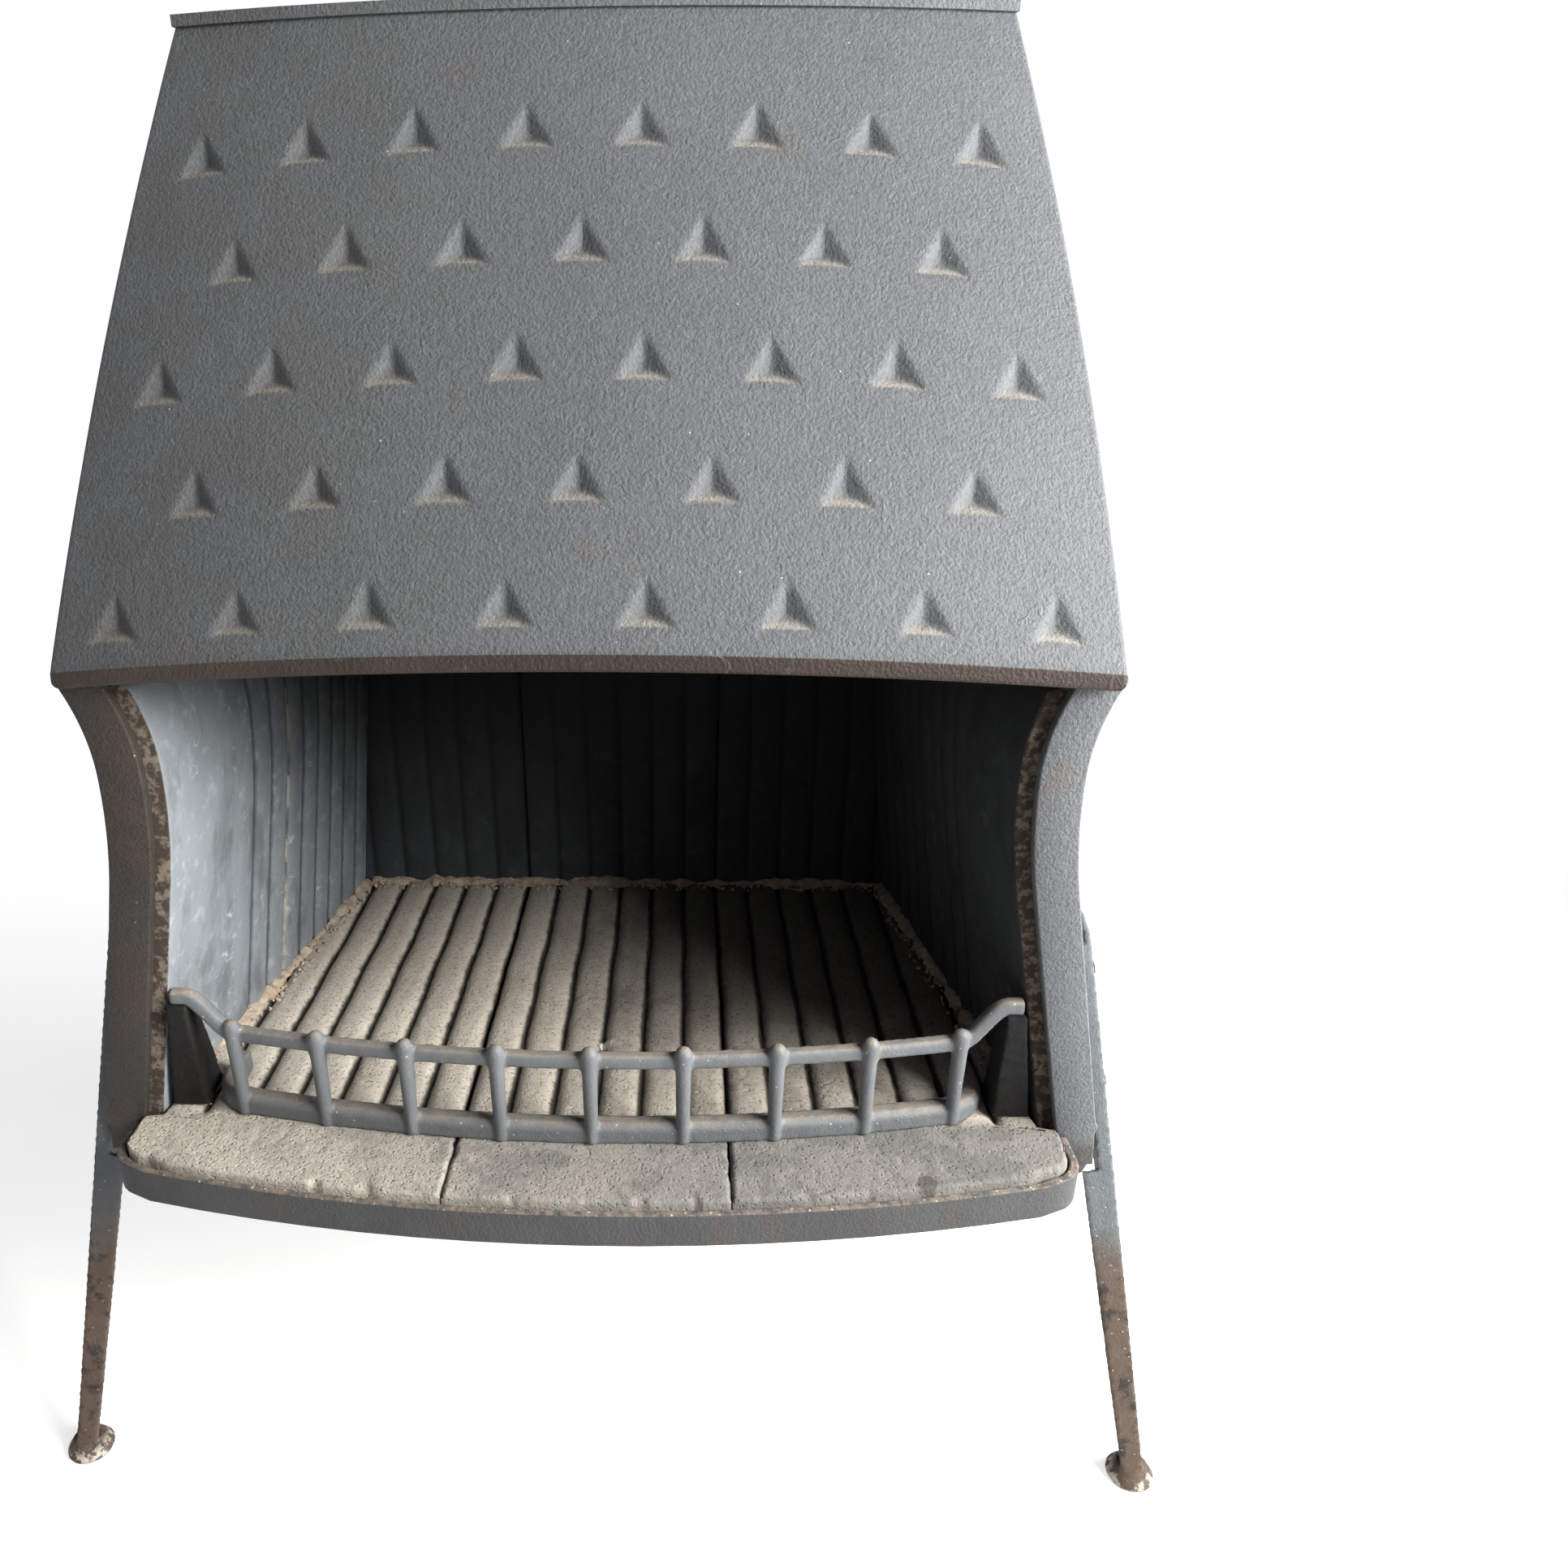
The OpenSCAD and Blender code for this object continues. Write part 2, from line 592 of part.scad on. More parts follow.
// A bevelled bar along a path of [x, y, z, turn, pitch]: turn is its heading in plan, and
// pitch its climb. The path runs through the middle of its section.
module swept_bar(path, w, h, bevel) {
  section = [[-w / 2, -h / 2], [w / 2, -h / 2], [w / 2, h / 2], [-w / 2 + bevel, h / 2],
    [-w / 2, h / 2 - bevel]];
  polyhedron(
    points = [for (p = path, q = section)
      [p[0] - sin(p[3]) * q[0] - sin(p[4]) * cos(p[3]) * q[1],
        p[1] + cos(p[3]) * q[0] - sin(p[4]) * sin(p[3]) * q[1],
        p[2] + cos(p[4]) * q[1]]],
    faces = concat([[0, 1, 2, 3, 4]], [[for (j = [4:-1:0]) (len(path) - 1) * 5 + j]],
      [for (i = [0:len(path) - 2], j = [0:4]) [i * 5 + j, (i + 1) * 5 + j, (i + 1) * 5 + (j + 1) % 5]],
      [for (i = [0:len(path) - 2], j = [0:4])
        [i * 5 + j, (i + 1) * 5 + (j + 1) % 5, i * 5 + (j + 1) % 5]]));
}

function arc_path(half, y, z, n) =
  [for (x = levels(-half, half, n)) [x, y + fender_bow(x), z, asin(x / fender_r), 0]];

// The top rail's end: it climbs in a smooth S and ends in a level hook that rests on the post.
rise_run = 34;
hook_len = 10;
end_x = fender_half - 1;
end_turn = asin(fender_half / fender_r);
function hook_path(y, z) = let (y1 = y + fender_bow(fender_half)) concat(
  [[end_x - 3, y1 - 0.6, z, 0, 0]],
  [for (t = levels(0, 1, 12)) [end_x + rise_run * t, y1, z + hook_rise * t * t * (3 - 2 * t), 0,
    atan(hook_rise * 6 * t * (1 - t) / rise_run)]],
  [[end_x + rise_run + hook_len, y1, z + hook_rise, 0, 0]]);
// The bottom rail's end: a turn back along the post towards the lining.
end_r = 30;
end_run = 26;
function end_path(y, z) = let (y1 = y + fender_bow(fender_half)) concat(
  [for (a = levels(end_turn, 88, 8))
    [end_x - 1 + end_r * (sin(a) - sin(end_turn)), y1 + end_r * (cos(end_turn) - cos(a)), z, a, 0]],
  [[end_x - 1 + end_r * (1 - sin(end_turn)), y1 + end_r + end_run, z, 90, 0]]);

module fender_bar(x) {
  translate([x, fender_y + fender_bow(x) + 2, hearth_h + fit]) {
    cylinder(d1 = bar_d - 3, d2 = bar_d - 1, h = bar_h - bar_d - 2);
    translate([0, 0, bar_h - bar_d - 2]) cylinder(d1 = bar_d - 1, d2 = bar_d, h = 8);
    translate([0, 0, bar_h - bar_d / 2 - fit]) sphere(d = bar_d);
  }
}

module fender() color([0.31, 0.33, 0.35]) {
  y = fender_y + rail_w / 2;
  low = hearth_h + fit + rail_h / 2;
  high = rail_top_z + top_rail_h / 2;
  swept_bar(arc_path(fender_half, y, low, 20), rail_w, rail_h, 4);
  swept_bar(arc_path(fender_half, y - 1, high, 20), top_rail_w, top_rail_h, 2);
  mirrored() {
    swept_bar(end_path(y, low), rail_w, rail_h, 4);
    swept_bar(hook_path(y - 1, high), top_rail_w, top_rail_h, 2);
  }
  for (i = [-4:4]) fender_bar(i * bar_pitch);
}

// The upright brackets that the fender's hooks rest in.
post_h = rail_top_z + hook_rise - hearth_h - 2 * fit;

module fender_post() {
  loft([for (k = levels(0, 1, 4))
    let (z = mix(fit, post_h, k), y = flange_y + mix(14, 2, k), deep = mix(36, 20, k),
      out = lining_x(y + deep, z) - fit, in = out - mix(28, 14, k))
    [[in, y, hearth_h + z], [out, y, hearth_h + z], [out, y + 6, hearth_h + z],
      [in + 6, y + 6, hearth_h + z], [in + 6, y + deep, hearth_h + z], [in, y + deep, hearth_h + z]]]);
}

module fender_post_right() color([0.35, 0.37, 0.39]) fender_post();
module fender_post_left() color([0.35, 0.37, 0.39]) mirror([1, 0, 0]) fender_post();

// ---- legs ----

leg_x = cheek_half_w + 14;                  // the front legs' outer corner, level with the hearth
leg_y = front_y + 111;
rear_leg_y = leg_y - 52;
rear_leg_x = cheek_x(-rear_leg_y, 0) + 18;
boss_z = [22, 118];
boss_r = 9;
boss_y = 26;

// Places its children in a leg's own frame, whose +Z runs up the leg and whose origin is
// the outer corner level with the hearth. The web lies at x < 0 and y > 0.
module in_leg_frame(x, y, splay, rear) {
  mirror([0, rear ? 1 : 0, 0]) translate([x, y, hearth_h]) rotate([-leg_rake, -splay, 0]) children();
}

// Gap between a leg's web and the cheek at a boss.
function boss_gap(x, y, splay, rear, z) =
  x - leg_t - tan(splay) * z
  - cheek_x((rear ? -1 : 1) * (y + boss_y + tan(leg_rake) * z), z);

module leg(x, y, splay, rear) {
  down = hearth_h / cos(splay) / cos(leg_rake) + 10;
  difference() {
    union() {
      intersection() {
        in_leg_frame(x, y, splay, rear) {
          rotate([90, 0, -90]) mirror([1, 0, 0]) linear_extrude(leg_t) {
            polygon([[0, -down], [22, -down], [leg_web, -40], [leg_web, leg_len_up - 20], [0, leg_len_up - 20]]);
            translate([leg_web / 2, leg_len_up - 20]) circle(r = leg_web / 2);
          }
          translate([0, leg_t, 0]) rotate([90, 0, 0]) linear_extrude(leg_t)
            polygon([[0, -down], [-leg_face + 3, -down], [-leg_face - 4, -skirt_h - 2],
              [-leg_face + 8, -skirt_h - 2], [-leg_face + 8, leg_len_up - 18], [0, leg_len_up - 18]]);
        }
        translate([-600, -600, 0]) cube([1200, 1200, 800]);
      }
      in_leg_frame(x, y, splay, rear) for (z = boss_z) translate([-leg_t + 1, boss_y, z])
        rotate([0, -90, 0]) cylinder(r = boss_r, h = boss_gap(x, y, splay, rear, z) - 1.2);
      foot_x = x + tan(splay) * hearth_h - leg_face / 2;
      foot_y = y - tan(leg_rake) / cos(splay) * hearth_h + 12;
      mirror([0, rear ? 1 : 0, 0]) translate([foot_x, foot_y, 0]) {
        cylinder(r1 = foot_r - 2, r2 = foot_r, h = 4);
        translate([0, 0, 4]) cylinder(r1 = foot_r, r2 = foot_r - 8, h = 12);
      }
    }
    in_leg_frame(x, y, splay, rear) for (z = boss_z) translate([10, boss_y, z])
      rotate([0, -90, 0]) cylinder(r = bore_r, h = 60);
  }
}

module leg_front_right() color([0.33, 0.31, 0.30]) leg(leg_x, leg_y, leg_splay, false);
module leg_front_left() color([0.35, 0.28, 0.24])
  mirror([1, 0, 0]) leg(leg_x, leg_y, leg_splay, false);
module leg_rear_right() color([0.33, 0.31, 0.30]) leg(rear_leg_x, rear_leg_y, rear_leg_splay, true);
module leg_rear_left() color([0.35, 0.28, 0.24])
  mirror([1, 0, 0]) leg(rear_leg_x, rear_leg_y, rear_leg_splay, true);

module leg_bolt_places() {
  mirrored() for (z = boss_z) {
    in_leg_frame(leg_x, leg_y, leg_splay, false) translate([0, boss_y, z]) rotate([0, 90, 0]) children();
    in_leg_frame(rear_leg_x, rear_leg_y, rear_leg_splay, true)
      translate([0, boss_y, z]) rotate([0, 90, 0]) children();
  }
}

// ---- fasteners ----

module leg_bolts() color([0.42, 0.40, 0.38]) mirrored() for (z = boss_z) {
  in_leg_frame(leg_x, leg_y, leg_splay, false) translate([0, boss_y, z]) rotate([0, 90, 0])
    bolt(leg_t + boss_gap(leg_x, leg_y, leg_splay, false, z) + wall - 2);
  in_leg_frame(rear_leg_x, rear_leg_y, rear_leg_splay, true) translate([0, boss_y, z])
    rotate([0, 90, 0]) bolt(leg_t + boss_gap(rear_leg_x, rear_leg_y, rear_leg_splay, true, z) + wall - 2);
}
module back_bolts() color([0.42, 0.40, 0.38]) back_bolt_places() bolt(2 * wall - 0.4);
module hood_bolts() color([0.42, 0.40, 0.38]) hood_bolt_places() bolt(hood_t + fit + 10 + bolt_head_h + 1);
module hood_nuts() color([0.42, 0.40, 0.38])
  hood_bolt_places() translate([0, 0, -hood_t - fit - 10 - bolt_head_h]) nut();
module top_bolts() color([0.42, 0.40, 0.38]) top_bolt_places() bolt(top_t + 14);
module collar_bolts() color([0.42, 0.40, 0.38]) collar_bolt_places() bolt(top_t + collar_t - 1);

hood_front();
hood_side_left();
hood_side_right();
hood_top();
flue_collar();
back_plate();
cheek_left();
cheek_right();
base_tray();
hearth_tile_left();
hearth_tile_centre();
hearth_tile_right();
back_tile_left();
back_tile_centre();
back_tile_right();
side_tile_front_left();
side_tile_front_right();
side_tile_rear_left();
side_tile_rear_right();
cement_left();
cement_right();
cement_back();
fender();
fender_post_left();
fender_post_right();
leg_front_left();
leg_front_right();
leg_rear_left();
leg_rear_right();
leg_bolts();
back_bolts();
hood_bolts();
hood_nuts();
top_bolts();
collar_bolts();
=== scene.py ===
"""Looks of a free-standing open stove: a cast hood, a firebrick hearth, a lift-out fender and four legs."""

import math

import bmesh
import bpy
import numpy as np
from mathutils import Matrix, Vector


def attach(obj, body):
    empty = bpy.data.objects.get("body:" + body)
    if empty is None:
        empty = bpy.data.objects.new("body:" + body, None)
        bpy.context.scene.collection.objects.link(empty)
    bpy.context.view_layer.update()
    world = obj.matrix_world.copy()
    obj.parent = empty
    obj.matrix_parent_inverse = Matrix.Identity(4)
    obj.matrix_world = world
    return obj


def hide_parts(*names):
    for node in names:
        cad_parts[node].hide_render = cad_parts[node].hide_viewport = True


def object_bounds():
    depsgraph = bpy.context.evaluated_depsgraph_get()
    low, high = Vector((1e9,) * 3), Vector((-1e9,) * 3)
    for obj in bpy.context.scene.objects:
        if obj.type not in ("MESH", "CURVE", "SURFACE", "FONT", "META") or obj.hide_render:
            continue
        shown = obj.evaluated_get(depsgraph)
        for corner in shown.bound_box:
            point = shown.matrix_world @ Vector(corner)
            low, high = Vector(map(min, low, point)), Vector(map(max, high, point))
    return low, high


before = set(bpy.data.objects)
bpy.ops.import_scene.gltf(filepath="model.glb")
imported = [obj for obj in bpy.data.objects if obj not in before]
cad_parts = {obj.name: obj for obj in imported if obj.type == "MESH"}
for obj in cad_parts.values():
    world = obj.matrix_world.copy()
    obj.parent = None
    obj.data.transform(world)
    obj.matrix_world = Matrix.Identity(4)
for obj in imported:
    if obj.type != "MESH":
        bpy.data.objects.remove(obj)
loaded_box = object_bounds()

# ---- sizes that follow the frame, in millimetres ----
HEARTH_H = 350.0
TRAY_Z, LINING_Z, LINING_TOP = 315.7, 322.0, 694.0
FRONT_Y, FLANGE_Y, LEDGE_Y, LINING_Y = -283.0, -186.0, -184.0, -176.7
TILE_JOINT_Y, BACK_FACE_Y, BACK_IN_Y = 36.8, 243.2, 270.5
CHEEK_H, WAIST_H, FLANGE_W, FLANGE_T, WALL = 352.0, 282.0, 31.0, 9.0, 7.0
CHEEK_HALF_W, CHEEK_BACK_HALF_W, BACK_LEAN, BACK_FLANGE = 383.0, 321.0, 0.111, 28.0
BOW_R, RIB_PITCH, HEARTH_GROOVE, WALL_GROOVE = 1450.0, 34.4, 7.0, 3.5
HEARTH_TILE_T, SIDE_TILE_T, BACK_TILE_T, LINING_GAP = 28.0, 32.0, 20.0, 1.6
HEARTH_HALF_W, CENTRE_TILE_HALF, SEAM = 353.5, 103.2, 1.0
LEDGE_BOW_END, LEDGE_CORNER_R = 331.5, 22.0
LIP_Y, LIP_Z, HOOD_TOP_Z, HOOD_LEN, HOOD_T = -231.5, 724.0, 1098.76, 440.0, 7.0
HOOD_HALF_W, HOOD_TOP_HALF_W, HOOD_EDGE_BOW, LIP_TAPER, TURN_R = 351.0, 289.0, 7.5, 8.0, 3.4
HOOD_LEAN = math.radians(31.6)
HOOD_ROWS, HOOD_COLS = 216, 343
DENT_W, DENT_H, DENT_DEPTH = 38.0, 34.0, 6.2
DENT_PITCH, DENT_PITCH_STEP, DENT_ROW, FIRST_DENT = 86.4, 3.05, 79.8, 22.5
LOWER_R, FLARE_R, CHEEK_LEAN = 420.0, 145.0, 0.208
LOWER_TURN = LOWER_R * math.sin(math.atan(CHEEK_LEAN))


# ---- shapes that the castings and tiles share ----
def mix(a, b, t):
    return a + (b - a) * t


def ease(t):
    """0 below 0, 1 above 1, and a smooth rise between."""
    t = np.clip(t, 0, 1)
    return t * t * (3 - 2 * t)


def bow(x):
    return BOW_R - np.sqrt(BOW_R**2 - np.asarray(x) ** 2)


def flare(z):
    """How far the cheeks' front edge stands out from their waist, z above the hearth."""
    z = np.asarray(z, float)
    up = FLARE_R - np.sqrt(FLARE_R**2 - np.clip(z - WAIST_H, 0, FLARE_R) ** 2)
    turn = LOWER_R - np.sqrt(LOWER_R**2 - np.clip(WAIST_H - z, 0, LOWER_TURN) ** 2)
    return up + turn + np.clip(WAIST_H - LOWER_TURN - z, 0, None) * CHEEK_LEAN


def cheek_front(z):
    return CHEEK_HALF_W - flare(0.0) + flare(z)


def cheek_x(y, z):
    back = CHEEK_BACK_HALF_W - BACK_LEAN * np.asarray(z)
    return mix(cheek_front(z), back, (y - FLANGE_Y) / (BACK_IN_Y - FLANGE_Y))


def lining_x(y, z):
    return cheek_x(y, z) - WALL - LINING_GAP - SIDE_TILE_T


def rib_dip(u, depth):
    """Depth of the ribbing: 0 on a crown, deep in the narrow grooves between."""
    return depth * np.abs(2 * (u / RIB_PITCH - np.floor(u / RIB_PITCH)) - 1) ** 3.2


def dice(i, seed):
    """Repeatable numbers from 0 to 1 at whole-number points."""
    h = i[..., 0] * 374761393 + i[..., 1] * 668265263 + i[..., 2] * 1442695041 + seed * 1274126177
    h = h & 0xFFFFFFFF
    h = ((h ^ (h >> 13)) * 1274126177) & 0xFFFFFFFF
    return ((h ^ (h >> 16)) & 0xFFFF) / 65535.0


def lumps(points, size, seed):
    """Smooth noise from -1 to 1 with lumps of that size."""
    q = np.asarray(points, float) / size
    i = np.floor(q).astype(np.int64)
    f = ease(q - i)
    total = 0.0
    for corner in np.ndindex(2, 2, 2):
        share = np.prod([f[..., k] if corner[k] else 1 - f[..., k] for k in range(3)], axis=0)
        total = total + share * dice(i + np.array(corner), seed)
    return 2 * total - 1


def rough(points, size, seed, octaves=3):
    return sum(lumps(points, size / 2**k, seed + k) / 2**k for k in range(octaves))


# ---- making pieces ----
def grid_faces(rows, cols, wrap=False):
    """Quads over a grid of points, closed round its columns if it wraps."""
    r = np.arange(rows - 1)[:, None]
    c = np.arange(cols if wrap else cols - 1)[None, :]
    d = (c + 1) % cols
    return np.stack([r * cols + c, r * cols + d, (r + 1) * cols + d, (r + 1) * cols + c], -1).reshape(-1, 4)


def new_object(name, mesh):
    made = bpy.data.objects.new(name, mesh)
    bpy.context.scene.collection.objects.link(made)
    return made


def mesh_of(points, faces, extra=(), **fields):
    """A mesh from points in millimetres, merged and facing outwards.
    Each field holds a number for each point."""
    mesh = bpy.data.meshes.new("shape")
    flat = np.asarray(points, float).reshape(-1, 3) * 0.001
    mesh.from_pydata(flat.tolist(), [], np.asarray(faces).tolist() + [list(e) for e in extra])
    for name, values in fields.items():
        field = mesh.attributes.new(name, "FLOAT", "POINT")
        field.data.foreach_set("value", np.asarray(values, np.float32).ravel())
    tidy(mesh)
    return mesh


def tidy(mesh, flat_angle=None):
    """Merges doubles, joins flat neighbours if asked, and turns every face outwards."""
    shape = bmesh.new()
    shape.from_mesh(mesh)
    bmesh.ops.remove_doubles(shape, verts=shape.verts, dist=1e-5)
    if flat_angle:
        bmesh.ops.dissolve_limit(shape, angle_limit=flat_angle, verts=shape.verts, edges=shape.edges)
    bmesh.ops.recalc_face_normals(shape, faces=shape.faces)
    shape.to_mesh(mesh)
    shape.free()


def settle(made):
    """Turns an object's modifiers into plain mesh."""
    made.data = bpy.data.meshes.new_from_object(made.evaluated_get(bpy.context.evaluated_depsgraph_get()))
    made.modifiers.clear()
    return made


def modify(made, kind, **settings):
    modifier = made.modifiers.new(kind.lower(), kind)
    for key, value in settings.items():
        setattr(modifier, key, value)
    return modifier


def copy_of(node, ending="_cast"):
    made = new_object(node + ending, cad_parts[node].data.copy())
    tidy(made.data, math.radians(0.6))
    return made


def softened(node, width=1.3, segments=3):
    """A copy of a node of the frame with its hard edges rounded as a casting's are."""
    made = copy_of(node)
    made.data.shade_smooth()
    modify(made, "BEVEL", width=width * 0.001, segments=segments, limit_method="ANGLE",
           angle_limit=math.radians(28), miter_outer="MITER_ARC")
    modify(made, "WEIGHTED_NORMAL", weight=100)
    return settle(made)


def recast(node, cell, passes, bumps, lump, seed, swell=0.0):
    """A copy of a node made again as one skin, with soft inner corners and hand-made unevenness."""
    made = copy_of(node)
    modify(made, "REMESH", mode="VOXEL", voxel_size=cell * 0.001)
    modify(made, "SMOOTH", factor=0.5, iterations=passes)
    wobble(settle(made).data, bumps, lump, seed, swell)
    return made


def wobble(mesh, bumps, lump, seed, swell):
    """Moves each point along its normal by smooth noise, and by the swell that smoothing took away."""
    count = len(mesh.vertices)
    at, out = np.empty(count * 3), np.empty(count * 3)
    mesh.vertices.foreach_get("co", at)
    mesh.vertices.foreach_get("normal", out)
    at, out = at.reshape(-1, 3), out.reshape(-1, 3)
    at += out * ((rough(at * 1000, lump, seed) * bumps + swell) * 0.001)[:, None]
    mesh.vertices.foreach_set("co", at.ravel())
    mesh.update()


def finish_piece(made, material, slot, *nodes, crease=40):
    """Keeps a piece in the frame's box, shades and paints it, and lets it stand for nodes of the frame."""
    at = np.empty(len(made.data.vertices) * 3)
    made.data.vertices.foreach_get("co", at)
    made.data.vertices.foreach_set("co", np.clip(at.reshape(-1, 3), *np.array(loaded_box)).ravel())
    made.data.update()
    made.data.shade_smooth()
    made.data.set_sharp_from_angle(angle=math.radians(crease))
    made.data.materials.clear()
    made.data.materials.append(material)
    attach(made, "root")
    if nodes:
        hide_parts(*nodes)
    return made


# ---- finishes ----
class Value:
    """A number socket that takes part in arithmetic."""

    def __init__(self, finish, socket):
        self.finish, self.socket = finish, socket

    def __add__(self, other):
        return self.finish.math("ADD", self, other)

    def __sub__(self, other):
        return self.finish.math("SUBTRACT", self, other)

    def __rsub__(self, other):
        return self.finish.math("SUBTRACT", other, self)

    def __mul__(self, other):
        return self.finish.math("MULTIPLY", self, other)

    __radd__ = __add__
    __rmul__ = __mul__


class Finish:
    """A material, with the few patterns that the stove's surfaces are made of."""

    def __init__(self, name):
        self.material = bpy.data.materials.new(name)
        self.material.use_nodes = True
        self.tree = self.material.node_tree
        self.surface = self.tree.nodes["Principled BSDF"]
        self.at = self.node("ShaderNodeTexCoord").outputs["Object"]
        split = self.node("ShaderNodeSeparateXYZ", sockets={0: self.at})
        self.x, self.y, self.z = (Value(self, s) for s in split.outputs)

    def node(self, kind, settings=(), sockets=()):
        made = self.tree.nodes.new(kind)
        for key, value in dict(settings).items():
            setattr(made, key, value)
        self.feed(made, sockets)
        return made

    def feed(self, node, sockets):
        """Links values to a node's inputs, or sets them as numbers and colours."""
        for key, value in dict(sockets).items():
            value = value.socket if isinstance(value, Value) else value
            if isinstance(value, bpy.types.NodeSocket):
                self.tree.links.new(value, node.inputs[key])
            else:
                node.inputs[key].default_value = value

    def math(self, operation, *values):
        made = self.node("ShaderNodeMath", {"operation": operation}, dict(enumerate(values)))
        return Value(self, made.outputs[0])

    def cloud(self, size, detail=3.0, stretch=None):
        """Noise from 0 to 1, with lumps of that size in millimetres, drawn out along z if asked."""
        at = self.at
        if stretch:
            at = self.node("ShaderNodeMapping", sockets={"Vector": self.at, "Scale": stretch}).outputs[0]
        noise = self.node("ShaderNodeTexNoise",
                          sockets={"Vector": at, "Scale": 1000 / size, "Detail": detail, "Roughness": 0.6})
        return Value(self, noise.outputs[0])

    def spots(self, size, share):
        """1 in round spots, one in each cell of that size, and 0 elsewhere."""
        cells = self.node("ShaderNodeTexVoronoi", {"feature": "F1"},
                          {"Vector": self.at, "Scale": 1000 / size})
        return self.ramp(Value(self, cells.outputs["Distance"]), share, share * 0.5)

    def ramp(self, value, low, high):
        """0 at low, 1 at high, and a smooth rise or fall between."""
        made = self.node("ShaderNodeMapRange", {"interpolation_type": "SMOOTHSTEP"},
                         {"Value": value, "From Min": low, "From Max": high})
        return Value(self, made.outputs[0])

    def hairline(self, size, width, seed_shift):
        """1 on thin wandering lines."""
        moved = self.node("ShaderNodeMapping",
                          sockets={"Vector": self.at, "Location": seed_shift}).outputs[0]
        noise = self.node("ShaderNodeTexNoise",
                          sockets={"Vector": moved, "Scale": 1000 / size, "Detail": 2.0})
        return self.ramp(self.math("ABSOLUTE", Value(self, noise.outputs[0]) - 0.5), width, width * 0.3)

    def field(self, name):
        return Value(self, self.node("ShaderNodeAttribute", {"attribute_name": name}).outputs["Fac"])

    def facing(self, axis):
        """How far the surface faces along x, y or z, from -1 to 1."""
        normal = self.node("ShaderNodeNewGeometry").outputs["Normal"]
        return Value(self, self.node("ShaderNodeSeparateXYZ", sockets={0: normal}).outputs[axis])

    def patch(self, x, y, radius):
        """1 in a ragged patch round a place in plan, and 0 elsewhere; all in millimetres."""
        dx, dy = self.x - x * 0.001, self.y - y * 0.001
        return self.ramp((dx * dx + dy * dy) * (1e6 / radius**2) + self.cloud(6, 4) * 1.4, 1.6, 1.2)

    def blend(self, factor, a, b):
        """One colour over another."""
        sockets = {0: factor, 6: (*a, 1) if isinstance(a, tuple) else a,
                   7: (*b, 1) if isinstance(b, tuple) else b}
        return self.node("ShaderNodeMix", {"data_type": "RGBA"}, sockets).outputs[2]

    def done(self, colour, roughness, height, depth, shine=0.05):
        """Sets the surface. Height runs from 0 to 1, and depth is in millimetres.
        A shine of 0.5 is that of glossy paint."""
        bump = self.node("ShaderNodeBump",
                         sockets={"Strength": 1.0, "Distance": depth * 0.001, "Height": height})
        self.feed(self.surface, {"Base Color": colour, "Roughness": roughness, "Normal": bump.outputs[0],
                                 "Specular IOR Level": shine})
        return self.material


def stove_paint(name, light, dark, brown, brown_share):
    """Matt blue-grey paint over sand-cast iron, worn to brown in patches; rusted near-black, with painted
    shade, on the hood's lip and deep in its dents, and painted pale, a dusting with a painted highlight, on
    the dents' lower rims.
    """
    f = Finish(name)
    patches = f.cloud(55, 5)
    colour = f.blend(f.cloud(120, 2), dark, light)
    worn = f.ramp(patches, 0.68 - 0.3 * brown_share, 0.76 - 0.2 * brown_share)
    colour = f.blend(worn * (0.35 + 0.5 * brown_share), colour, brown)
    colour = f.blend(f.ramp(f.cloud(5, 3), 0.42, 0.66) * 0.22, colour, tuple(1.5 * c for c in light))
    # Near-black rusted brown with painted shade: on the hood's lip, the plate's bottom edge and deep in the
    # dents.
    rust = f.field("rust")
    colour = f.blend(rust * f.ramp(f.cloud(9, 4), 0.05, 0.42), colour, (0.032, 0.020, 0.014))
    # A pale dusting with a painted highlight: faint over the dents' lower faces, strong on their lower
    # rims.
    dust = f.field("dust")
    colour = f.blend(dust * (0.55 + 0.4 * f.cloud(6, 3)), colour, (0.36, 0.335, 0.295))
    scratch = f.hairline(70, 0.003, (3, 1, 2)) * f.ramp(f.cloud(110, 2), 0.56, 0.64)
    colour = f.blend(scratch * 0.15, colour, (0.36, 0.36, 0.35))
    colour = f.blend(f.spots(21, 0.04) * 0.6, colour, (0.62, 0.6, 0.56))
    far_side = f.ramp(f.x, 0.08, -0.3) * f.ramp(f.cloud(50, 4), 0.36, 0.66)
    colour = f.blend(far_side * 0.34, colour, tuple(0.8 * c for c in brown))
    # Darker and browner towards the bottom, on the cheeks below the hearth's level.
    colour = f.blend(f.ramp(f.z + f.cloud(30, 3) * 0.03, 0.362, 0.34) * 0.75,
                     colour, tuple(0.4 * c for c in brown))
    veins = f.hairline(34, 0.02, (7, 4, 9)) * f.ramp(f.cloud(48, 3), 0.55, 0.66)
    grit = f.cloud(2.3, 2)
    colour = f.blend(f.ramp(grit, 0.5, 0.72) * 0.3, colour, tuple(0.45 * c for c in dark))
    grain = grit + f.cloud(5.5, 2) * 0.4 + veins * 0.2
    return f.done(colour, f.cloud(30, 3) * 0.2 + 0.48, grain, 1.0, 0.22)


